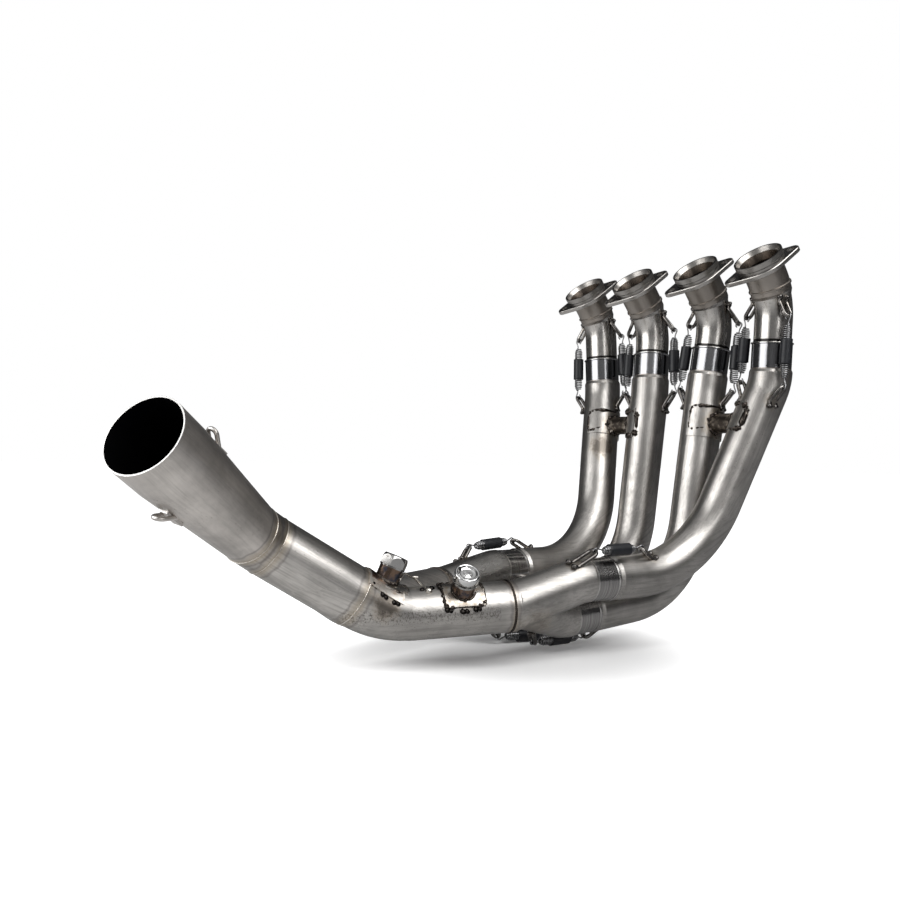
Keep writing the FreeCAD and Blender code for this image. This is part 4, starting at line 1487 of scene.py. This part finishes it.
TILT = math.radians(51.6)
PORT_AXIS: Vec = (0.0, math.cos(TILT), -math.sin(TILT))
PORT_X = {1: 0.0, 2: 0.0795, 3: 0.1705, 4: 0.25}
STUB_STEP = 0.041
RUN_ONE: Vec = (-0.1746, -0.8358, 0.5206)
RUN_TWO: Vec = (0.1570, -0.8375, 0.5234)
RUN_MOUTH: Vec = (0.4589, -0.7283, 0.5088)
MITRE_ONE: Vec = (0.12800, -0.46200, -0.27800)
MITRE_TWO: Vec = (0.13100, -0.47800, -0.26800)
PLANE_ONE: Vec = (-0.0089, -0.8484, 0.5293)
PLANE_TWO: Vec = (0.3120, -0.7932, 0.5229)
MERGE_RING: Vec = (0.14306, -0.38992, -0.32290)
TWIN_OUTLETS: dict[str, tuple[Vec, Vec]] = {
    "left": ((0.06860, -0.25450, -0.33650), (0.2896, -0.9564, -0.0366)),
    "right": ((0.18140, -0.25450, -0.33650), (-0.2896, -0.9564, -0.0366)),
}
UPPER_LIPS: dict[int, tuple[Vec, Vec]] = {
    1: ((0.00258, 0.02907, -0.08300), (0.0548, 0.0106, -0.9984)),
    2: ((0.08172, 0.03192, -0.08300), (0.0592, -0.1178, -0.9913)),
    3: ((0.16828, 0.03192, -0.08300), (-0.0592, -0.1178, -0.9913)),
    4: ((0.24742, 0.02907, -0.08300), (-0.0548, 0.0106, -0.9984)),
}
LOWER_LIPS: dict[int, tuple[Vec, Vec]] = {
    1: ((0.05630, -0.14290, -0.32160), (0.0693, -0.9976, 0.0034)),
    2: ((0.08800, -0.13690, -0.35710), (0.0395, -0.9969, -0.0687)),
    3: ((0.16200, -0.13690, -0.35210), (-0.0422, -0.9951, -0.0890)),
    4: ((0.19370, -0.14290, -0.31660), (-0.0749, -0.9971, -0.0146)),
}
# The ways that each header takes below its slip band, each with the height at which it turns to it.
BEND_TURNS: dict[int, tuple[tuple[Vec, float], ...]] = {
    number: ((lean, -0.135), (steep, -0.21), (shallow, -0.26), (LOWER_LIPS[number][1], -0.295))
    for number, lean, steep, shallow in (
        (1, (0.206, -0.258, -0.944), (0.20, -0.50, -0.84), (0.12, -0.86, -0.50)),
        (2, (0.059, -0.118, -0.991), (0.06, -0.40, -0.91), (0.05, -0.82, -0.57)),
        (3, (-0.059, -0.118, -0.991), (-0.06, -0.40, -0.91), (-0.05, -0.82, -0.57)),
        (4, (-0.210, -0.307, -0.928), (-0.20, -0.50, -0.84), (-0.12, -0.86, -0.50)),
    )
}
# A patch of soot on the first header, and under the near twin collector a heat stain whose dark core is
# painted shade.
SOOT = {1: (Spot((0.0362, -0.0004, -0.1890), 0.020, 0.55),)}
UNDERSIDE_TINT_AND_SHADE = Spot((0.1900, -0.2350, -0.3600), 0.034, 0.4)
SLIP_BAND = 0.026
LOWER_BAND = 0.026
LIP_GAP = 0.0028
PIPE_RADIUS = 0.021
TWIN_RADIUS = 0.0230
MERGE_RADIUS = 0.026
CROSS_RADIUS = 0.0104
NECK_RADIUS = 0.0106
# The twin collectors' finish: colour, roughness and the bead of their outlet. The far, left collector's
# colour is darker than the near one's as painted shade.
TWIN_LOOKS: dict[str, tuple[Colour, float, float]] = {
    "left": ((0.38, 0.37, 0.355), 0.28, 0.0007),
    "right": ((0.53, 0.51, 0.485), 0.36, 0.0011),
}
CROSS: dict[int, tuple[Vec, Vec]] = {
    1: ((0.01363, 0.01842, -0.16400), (0.2059, -0.2582, -0.9439)),
    2: ((0.08420, 0.02215, -0.16400), (0.0592, -0.1178, -0.9913)),
    3: ((0.16581, 0.02054, -0.16400), (-0.0592, -0.1178, -0.9913)),
    4: ((0.23604, 0.01611, -0.16400), (-0.2099, -0.3069, -0.9283)),
}

# For each header, how far down its saddle's edge sits, how much its lower end bows, and half its arc.
SADDLE_EDGES: dict[int, tuple[float, float, float]] = {
    1: (0.0015, 0.0077, 1.5),
    2: (0.0, 0.0, 1.78),
    3: (-0.0043, 0.0060, 1.5),
    4: (0.0015, 0.0, 1.78),
}


@dataclass(frozen=True)
class BossLine:
    """Where a sensor boss stands on its pipe, and where its plate ends and its neck begins."""

    foot: Vec
    out: Vec
    pipe: Vec
    radius: float
    plate: float

    def foot_on_pipe(self) -> Vec:
        """Return the point of the pipe's surface under the boss."""
        return tuple(Vector(self.foot) + Vector(self.out) * self.radius)


BOSSES = {
    "one": BossLine((0.16808, -0.29850, -0.33819), (0.5675, -0.2024, 0.7981), (-0.2896, -0.9564, -0.0366),
                    0.0233, 0.0254),
    "two": BossLine((0.14717, -0.37118, -0.33321), (0.1545, 0.3473, 0.9249), (-0.2150, -0.9019, 0.3746),
                    0.0246, 0.0285),
}
CAP_SEAT = 0.0373
CAP_PROFILE = [(0.0, -0.0085), (0.0077, -0.0085), (0.0077, -0.0002), (0.0096, 0.0), (0.0104, 0.0006),
               (0.0113, 0.0026), (0.0115, 0.0045), (0.0114, 0.0066), (0.0110, 0.0080), (0.0102, 0.0088),
               (0.0094, 0.0089), (0.0086, 0.0085), (0.0078, 0.0074), (0.0064, 0.0067), (0.0034, 0.0064),
               (0.0030, 0.0071), (0.0024, 0.0074), (0.0, 0.0075)]
BRACKET_WIRE = 0.0011
BRACKET_WIRES: list[list[Vec]] = [
    [(0.1603, -0.3545, -0.3090), (0.1531, -0.3456, -0.3048), (0.1483, -0.3367, -0.3085),
     (0.1492, -0.3285, -0.3097)],
    [(0.1451, -0.3326, -0.3091), (0.1555, -0.3299, -0.3146), (0.1710, -0.3307, -0.3195)],
]
BRIGHT_DROP: Vec = (0.1697, -0.3312, -0.3190)
# Drops of burnt weld beside the bosses: place and radius.
DARK_DROPS: list[tuple[Vec, float]] = [
    ((0.1644, -0.3838, -0.3098), 0.0026), ((0.1652, -0.3815, -0.3125), 0.0022),
    ((0.1678, -0.3762, -0.3190), 0.0028), ((0.1688, -0.3735, -0.3215), 0.0026),
    ((0.1703, -0.3665, -0.3262), 0.0028), ((0.1713, -0.3630, -0.3275), 0.0026),
    ((0.1848, -0.3220, -0.3340), 0.0026), ((0.1857, -0.3185, -0.3345), 0.0024),
    ((0.1892, -0.3082, -0.3355), 0.0029), ((0.1901, -0.3045, -0.3355), 0.0026),
    ((0.1924, -0.2968, -0.3343), 0.0027), ((0.1931, -0.2935, -0.3338), 0.0023),
    ((0.1660, -0.3350, -0.3183), 0.0026), ((0.1675, -0.3265, -0.3177), 0.0030),
    ((0.1700, -0.3195, -0.3165), 0.0028), ((0.1740, -0.3195, -0.3190), 0.0026),
    ((0.1780, -0.3219, -0.3229), 0.0021), ((0.1815, -0.3222, -0.3262), 0.0018),
]


@dataclass
class Pipework:
    """The CAD nodes of the header with their metal finishes and weld beads."""

    effects: Effects
    bead_metal: bpy.types.Material
    dark_metal: bpy.types.Material

    def dress(self, node: str, finish: Titanium | Turned | Steel | Boss) -> None:
        """Give a CAD node its finish.

        Args:
            node: Name of the CAD node.
            finish: The finish that becomes its material.
        """
        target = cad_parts[node]
        target.data.materials.clear()
        target.data.materials.append(finish.build(self.effects))
        LOG.info("%s dressed as %s", node, finish.name)

    @staticmethod
    def feet(names: list[str], far: bool) -> tuple[Spot, ...]:
        """Return the burnt patches round the feet of some hooks."""
        return tuple(Spot(SPRINGS[name][-1 if far else 0], 0.011, 0.45) for name in names)

    def dress_ports(self) -> None:
        """Dress the collars, flanges and stubs."""
        for number, x in PORT_X.items():
            centre = (x, 0.0, 0.0)
            # the collars' and flanges' flat faces carry painted shade
            self.dress(f"collar_{number}", Turned(f"turned collar {number}", centre, PORT_AXIS,
                                                  face=(0.05, 0.046, 0.043), edge=(0.45, 0.43, 0.405)))
            self.dress(f"flange_{number}", Turned(f"milled flange {number}", centre, PORT_AXIS))
            lip, way = UPPER_LIPS[number]
            above = Vector(lip) - Vector(way) * LIP_GAP
            sides = [f"port_{number}_left", f"port_{number}_right"]
            self.dress(f"stub_{number}", Titanium(
                f"stub titanium {number}", axis=way, roughness=0.24, brushed=0.15,
                blasted=(Stretch(centre, PORT_AXIS, STUB_STEP - 0.002, 0.06),),
                # the gap above the lip is painted as shadow
                gaps=(Stretch(tuple(above), way, LIP_GAP),), spots=self.feet(sides, False),
                # the stub's brown inside is soot with painted shade
                bores=(Bore(centre, PORT_AXIS, 0.0205, 0.0190, 0.03, (0.13, 0.108, 0.09), -0.04),)))

    def dress_headers(self) -> None:
        """Dress the four header pipes and the two cross pipes."""
        for number, (lip, way) in UPPER_LIPS.items():
            sides = [f"port_{number}_left", f"port_{number}_right"]
            burns = self.feet(sides, True) + self.feet([f"collector_{number}"], False)
            side = 1 if number in (1, 3) else -1
            fitting = Vector(CROSS[number][0]) + Vector((side * PIPE_RADIUS, 0.0, 0.0))
            burns = (*burns, Spot(tuple(fitting), 0.021, 0.45), *SOOT.get(number, ()))
            self.dress(f"header_pipe_{number}", Titanium(
                f"header titanium {number}", axis=way, mirrors=(Stretch(lip, way, SLIP_BAND),),
                turns=BEND_TURNS[number], spots=burns))
        for side, (first, last) in {"left": (1, 2), "right": (3, 4)}.items():
            ends = (Vector(CROSS[first][0]), Vector(CROSS[last][0]))
            burns = (Spot(tuple(ends[0].lerp(ends[1], 0.5)), 0.029, 0.95),)
            self.dress(f"cross_pipe_{side}", Titanium(f"cross pipe titanium {side}", spots=burns))

    def dress_collectors(self) -> None:
        """Dress the twin collectors, the merge collector, the mitred ring and the outlet."""
        for side, numbers in (("left", (1, 2)), ("right", (4, 3))):
            outlet, way = TWIN_OUTLETS[side]
            colour, roughness, _ = TWIN_LOOKS[side]
            self.dress(f"twin_collector_{side}", Titanium(
                f"twin collector titanium {side}", axis=way, colour=colour, roughness=roughness,
                polished=tuple(Stretch(*LOWER_LIPS[n], LOWER_BAND, 0.036) for n in numbers),
                seams=(Seam(outlet, way, 0.005, 0.03),),
                spots=(*self.feet([f"collector_{n}" for n in numbers], True), UNDERSIDE_TINT_AND_SHADE)))
        self.dress("merge_collector", Titanium(
            "merge titanium", axis=RUN_ONE,
            turns=((BOSSES["two"].pipe, -0.314), (TWIN_OUTLETS["right"][1], -0.335)),
            seams=(Seam(*TWIN_OUTLETS["left"], 0.005, 0.03), Seam(*TWIN_OUTLETS["right"], 0.005, 0.03),
                   Seam(MERGE_RING, RUN_ONE, 0.009), Seam(MITRE_ONE, PLANE_ONE, 0.008)),
            speckled=(Stretch((0.155, -0.335, -0.3465), (0.0, 0.0, 1.0), 0.016, 0.075),),
            spots=(*(Spot(BOSSES[which].foot_on_pipe(), 0.022, 0.5) for which in ("one", "two")),
                   # this patch below the second boss is heat stain with painted shade of the plug
                   Spot((0.1710, -0.3745, -0.3275), 0.017, 0.6))))
        self.dress("mitre_ring", Titanium("mitred ring titanium", axis=RUN_TWO, colour=(0.43, 0.41, 0.385),
                                          seams=(Seam(MITRE_ONE, PLANE_ONE, 0.007),
                                                 Seam(MITRE_TWO, PLANE_TWO, 0.007))))
        self.dress("outlet_cone", Titanium(
            "outlet titanium", axis=RUN_MOUTH, colour=(0.56, 0.53, 0.50), roughness=0.38, brushed=0.2,
            # bright_end paints a highlight on the outlet's rim
            seams=(Seam(MITRE_TWO, PLANE_TWO, 0.010),), bright_end=RUN_MOUTH,
            # the outlet's near-black inside is painted shade
            bores=(Bore(MITRE_TWO, RUN_MOUTH, 0.0253, 0.0316, 0.1163, (0.006, 0.006, 0.007), 0.2, 0.05),)))

    def dress_plugs(self) -> None:
        """Dress the sensor bosses, washers and plugs, and set the domed cap on the first plug."""
        bright = Steel("plug steel", (0.40, 0.395, 0.385), (0.13, 0.11, 0.095), 0.16, 0.4)
        glossy = Steel("polished cap", (0.72, 0.72, 0.715), (0.5, 0.48, 0.46), 0.04, 0.1)
        for which, line in BOSSES.items():
            self.dress(f"sensor_boss_{which}", Boss(f"heated boss {which}", line.foot, line.pipe, line.plate))
            self.dress(f"plug_washer_{which}", bright)
        self.dress("sensor_plug_two", bright)
        self.dress("sensor_plug_one", glossy)
        line = BOSSES["one"]
        seat = Vector(line.foot) + Vector(line.out) * CAP_SEAT
        cap = add_piece("sensor_cap_one", turned(CAP_PROFILE, seat, Vector(line.out)),
                        glossy.build(self.effects))
        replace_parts(cap, "sensor_plug_one")

    def weld(self) -> None:
        """Lay the weld beads round the pipes."""
        for side, (outlet, way) in TWIN_OUTLETS.items():
            WeldRing(f"weld_twin_{side}", Vector(outlet), Vector(way), Vector(way), TWIN_RADIUS,
                     TWIN_LOOKS[side][2]).build(self.dark_metal)
        for name, centre, axis, plane, bead in (("merge", MERGE_RING, RUN_ONE, RUN_ONE, 0.0007),
                                                ("mitre_one", MITRE_ONE, RUN_TWO, PLANE_ONE, 0.00045),
                                                ("mitre_two", MITRE_TWO, RUN_TWO, PLANE_TWO, 0.00045)):
            WeldRing(f"weld_{name}", Vector(centre), Vector(axis), Vector(plane), MERGE_RADIUS,
                     bead).build(self.bead_metal)

    def weld_fittings(self) -> None:
        """Lay the beads round the bosses' plates and where the cross pipes meet the headers."""
        for number, (which, line) in enumerate(BOSSES.items()):
            foot, pipe, out = Vector(line.foot), Vector(line.pipe), Vector(line.out)
            PadBead(f"weld_plate_{which}", foot, pipe, out, line.radius, half_length=0.0185,
                    half_arc=0.0150 / line.radius, bead=0.0015, seed=number * 5.3).build(self.dark_metal)
            JunctionBead(f"weld_neck_{which}", foot + out * 0.05, -out, NECK_RADIUS, foot, pipe,
                         line.radius + 0.0018, 0.0010, seed=number * 4.1).build(self.dark_metal)
        for number, (point, axis) in CROSS.items():
            side = 1 if number in (1, 3) else -1
            host, host_axis, partner = Vector(point), Vector(axis), Vector(CROSS[number + side][0])
            JunctionBead(f"weld_cross_{number}", (host + partner) / 2, unit(host - partner), CROSS_RADIUS,
                         host, host_axis, PIPE_RADIUS + 0.0012, 0.0021,
                         seed=number * 3.1).build(self.dark_metal)
            shift, bow, half_arc = SADDLE_EDGES[number]
            rise, bead, ragged = (0.0010, 0.0009, 2.8) if side > 0 else (0.0002, 0.0015, 3.4)
            PadBead(f"weld_saddle_{number}", host + host_axis * shift, host_axis, Vector((side, 0, 0)),
                    PIPE_RADIUS + rise, half_length=0.0140, half_arc=half_arc, bead=bead, seed=number * 7.7,
                    bow=bow, ragged=ragged).build(self.dark_metal)

    def bracket(self) -> None:
        """Bend the little wire bracket between the bosses, and drop the burnt weld beside their plates."""
        rod = Rod()
        for line in BRACKET_WIRES:
            points = rounded([Vector(p) for p in line], 0.001)
            rod.sweep(points, [BRACKET_WIRE] * len(points))
        rod.ball(Vector(BRIGHT_DROP), 0.0031, seed=1.7)
        add_piece("bracket_wire", rod.finish("bracket_wire"), self.bead_metal)
        char = Steel("charred weld", (0.018, 0.016, 0.015), (0.07, 0.06, 0.05), 0.16, 0.3)
        drops = Rod()
        for number, (place, radius) in enumerate(DARK_DROPS):
            drops.ball(Vector(place), radius, Vector((0.4, 0.0, 0.2)), seed=number * 2.3)
        add_piece("weld_drops", drops.finish("weld_drops"), char.build(self.effects))

    def plates(self) -> None:
        """Lay the wide saddle plate under the second boss."""
        line = BOSSES["two"]
        plate = SaddlePlate("saddle_plate_two", "merge_collector", Vector(line.foot), Vector(line.pipe),
                            Vector(line.out))
        # the pale plate's colour is raised past the metal's as painted light
        finish = Steel("saddle plate", (0.74, 0.70, 0.65), (0.38, 0.30, 0.23), 0.36, 0.75, 170.0)
        plate.build(finish.build(self.effects))

    def build(self) -> None:
        """Dress every CAD node and weld the seams."""
        self.dress_ports()
        self.dress_headers()
        self.dress_collectors()
        self.dress_plugs()
        self.weld()
        self.weld_fittings()
        self.plates()
        self.bracket()


# studio


@dataclass(frozen=True)
class SoftBox:
    """A soft box: degrees right of the camera and above the header, distance, lit face and watts."""

    name: str
    bearing: float
    climb: float
    distance: float
    width: float
    height: float
    power: float


SOFT_BOXES = (
    SoftBox("left box", -66.0, 18.0, 1.6, 1.4, 0.95, 15.0),
    SoftBox("front box", 43.0, 44.0, 1.5, 1.35, 1.25, 20.5),
    SoftBox("strip box", 24.0, 10.0, 1.6, 0.16, 0.6, 1.1),
)


@dataclass
class Studio:
    """White floor and surroundings, soft boxes and the camera of the photograph."""

    floor_height: float
    middle: Vec = (0.125, -0.27, -0.19)
    camera_place: Vec = (0.8541140, -0.7905578, -0.2010034)
    right: Vec = (0.5735592, 0.8189942, 0.0166831)
    down: Vec = (0.0059964, 0.0161678, -0.9998513)
    view: Vec = (-0.8191421, 0.5735740, 0.0043622)
    lens: float = 38.353
    floor_size: float = 12.0
    # floor tones and glow that reflections see: painted shade on the right, painted light and glow on the
    # left
    floor_painted_shade: Colour = (0.36, 0.36, 0.365)
    floor_painted_light: Colour = (0.62, 0.62, 0.62)
    floor_painted_glow: float = 0.12
    dim_studio: float = 0.055
    dim_fill: float = 0.1
    white_above: float = 0.46
    white_front: float = 0.38
    shadow_middle: Vec = (0.1568, -0.1998, 0.0)
    shadow_width: float = 0.28
    shadow_depth: float = 0.25

    def toward(self, bearing: float, climb: float) -> Vector:
        """Return a direction as seen from the header's middle.

        Args:
            bearing: Degrees to the right of the camera.
            climb: Degrees above the header's middle.

        Returns:
            The direction, at length one.
        """
        back = -Vector(self.view)
        flat = unit(Vector((back.x, back.y, 0.0)))
        flat.rotate(Matrix.Rotation(math.radians(bearing), 3, "Z"))
        return unit(around(flat, Vector((0, 0, 1)), math.radians(climb)))

    @staticmethod
    def plainly_seen(graph: Graph) -> tuple[Socket, Socket]:
        """Return whether a ray sees the plain white set, and whether it is a reflection."""
        rays = graph.add("ShaderNodeLightPath").outputs
        seen = graph.math("MAXIMUM", rays["Is Camera Ray"], rays["Is Transmission Ray"])
        return seen, rays["Is Glossy Ray"]

    def camera(self) -> None:
        """Set the camera where the photograph was taken."""
        data = bpy.data.cameras.new("camera")
        data.lens = self.lens
        data.sensor_width = 36.0
        data.clip_start, data.clip_end = 0.02, 50.0
        camera = bpy.data.objects.new("camera", data)
        bpy.context.scene.collection.objects.link(camera)
        columns = (Vector(self.right), -Vector(self.down), -Vector(self.view))
        turn = Matrix(columns).transposed().to_4x4()
        camera.matrix_world = Matrix.Translation(self.camera_place) @ turn
        bpy.context.scene.camera = camera

    def floor(self) -> None:
        """Lay a floor that is white to the camera and keeps the header's soft shadow inside a painted
        ellipse; reflections see it paler on the left and greyer on the right, painted light and shade, with a
        faint painted glow on the left.
        """
        mesh = bmesh.new()
        bmesh.ops.create_grid(mesh, x_segments=2, y_segments=2, size=self.floor_size)
        data = bpy.data.meshes.new("floor")
        mesh.to_mesh(data)
        mesh.free()
        floor = bpy.data.objects.new("floor", data)
        floor.location.z = self.floor_height
        bpy.context.scene.collection.objects.link(floor)
        material, graph = new_material("white floor")
        seen, reflected = self.plainly_seen(graph)
        away = graph.vector("SUBTRACT", graph.place(), self.shadow_middle)
        aside = graph.vector("DOT_PRODUCT", away, (self.right[0], self.right[1], 0.0))
        deep = graph.vector("DOT_PRODUCT", away, (self.view[0], self.view[1], 0.0))
        # reflections see the floor paler on the left and greyer on the right: painted light and shade
        left = graph.smooth(aside, -0.2, 0.35, 1.0, 0.0)
        tone = graph.mix(seen, graph.mix(left, self.floor_painted_shade, self.floor_painted_light), WHITE)
        shader = graph.add("ShaderNodeBsdfPrincipled", {"Base Color": tone, "Roughness": 0.9,
                                                        "Specular IOR Level": 0.0})
        flat = graph.point(graph.math("DIVIDE", aside, self.shadow_width),
                           graph.math("DIVIDE", deep, self.shadow_depth))
        # inside an ellipse round shadow_middle the white glow fades out: a painted bound on where the floor's
        # real cast shadow and lit shade show
        lift = graph.smooth(graph.vector("LENGTH", flat), 0.25, 1.0)
        # reflections see a faint painted glow on the left of the floor
        reflected_painted_glow = graph.times(reflected, graph.times(left, self.floor_painted_glow))
        glow = graph.add("ShaderNodeEmission", {
            "Color": colour4(WHITE), "Strength": graph.times(graph.math("MAXIMUM", seen, reflected_painted_glow), lift)})
        both = graph.add("ShaderNodeAddShader", {0: shader.outputs[0], 1: glow.outputs[0]})
        graph.add("ShaderNodeOutputMaterial", {"Surface": both.outputs[0]})
        data.materials.append(material)

    def world(self) -> None:
        """Surround the set with white, which reflections see in part and only above and in front."""
        world = bpy.data.worlds.new("studio")
        bpy.context.scene.world = world
        world.use_nodes = True
        graph = Graph(world.node_tree)
        way = graph.add("ShaderNodeTexCoord").outputs["Generated"]
        height = graph.add("ShaderNodeSeparateXYZ", {0: way}).outputs[2]
        above = graph.times(graph.smooth(height, 0.7, 0.96), self.white_above)
        front = graph.smooth(graph.vector("DOT_PRODUCT", way, tuple(self.toward(-12.0, 46.0))), 0.6, 0.95)
        share = graph.plus(above, graph.times(front, self.white_front))
        seen, reflected = self.plainly_seen(graph)
        seen = graph.math("MAXIMUM", seen, graph.times(reflected, share))
        scattered = graph.add("ShaderNodeLightPath").outputs["Is Diffuse Ray"]
        ambient = graph.plus(self.dim_studio, graph.times(scattered, self.dim_fill))
        dim = graph.add("ShaderNodeBackground", {"Color": colour4((1.0, 1.0, 1.02)), "Strength": ambient})
        white = graph.add("ShaderNodeBackground", {"Color": colour4(WHITE), "Strength": 1.0})
        both = graph.add("ShaderNodeMixShader", {0: seen, 1: dim.outputs[0], 2: white.outputs[0]})
        graph.add("ShaderNodeOutputWorld", {"Surface": both.outputs[0]})

    def hang(self, box: SoftBox) -> None:
        """Hang a soft box that faces the header.

        Args:
            box: Where it hangs, how large it is and how strong.
        """
        way = self.toward(box.bearing, box.climb)
        data = bpy.data.lights.new(box.name, "AREA")
        data.shape = "RECTANGLE"
        data.size, data.size_y, data.energy = box.width, box.height, box.power
        lamp = bpy.data.objects.new(box.name, data)
        lamp.location = Vector(self.middle) + way * box.distance
        lamp.rotation_mode = "QUATERNION"
        lamp.rotation_quaternion = (-way).to_track_quat("-Z", "Y")
        lamp.visible_camera = False
        bpy.context.scene.collection.objects.link(lamp)

    def build(self) -> None:
        """Set the whole studio."""
        bpy.context.scene.view_settings.view_transform = "Standard"
        self.camera()
        self.floor()
        self.world()
        for box in SOFT_BOXES:
            self.hang(box)


def main() -> None:
    """Build the header's looks and its studio."""
    logging.basicConfig(level=logging.INFO, format="%(name)s %(message)s")
    effects = Effects()
    bead = Steel("weld bead", (0.62, 0.59, 0.54), (0.34, 0.27, 0.2), 0.18, 0.5, 300.0).build(effects)
    burnt = Steel("scorched weld", (0.055, 0.046, 0.04), (0.40, 0.36, 0.31), 0.2, 0.25, 210.0).build(effects)
    # the spring wire's colour is darkened as painted shade
    wire = Steel("spring wire", (0.30, 0.30, 0.305), (0.07, 0.068, 0.065), 0.1, 0.5, 400.0).build(effects)
    # the hook wire is near-black as painted dark reflection
    hook = Steel("hook wire", (0.125, 0.118, 0.112), (0.035, 0.03, 0.027), 0.06, 0.6, 260.0).build(effects)
    Pipework(effects, bead, burnt).build()
    SpringSet(wire, hook, Rubber().build()).build()
    Studio(CAD_BOX[0].z).build()


if __name__ == "__main__":
    main()
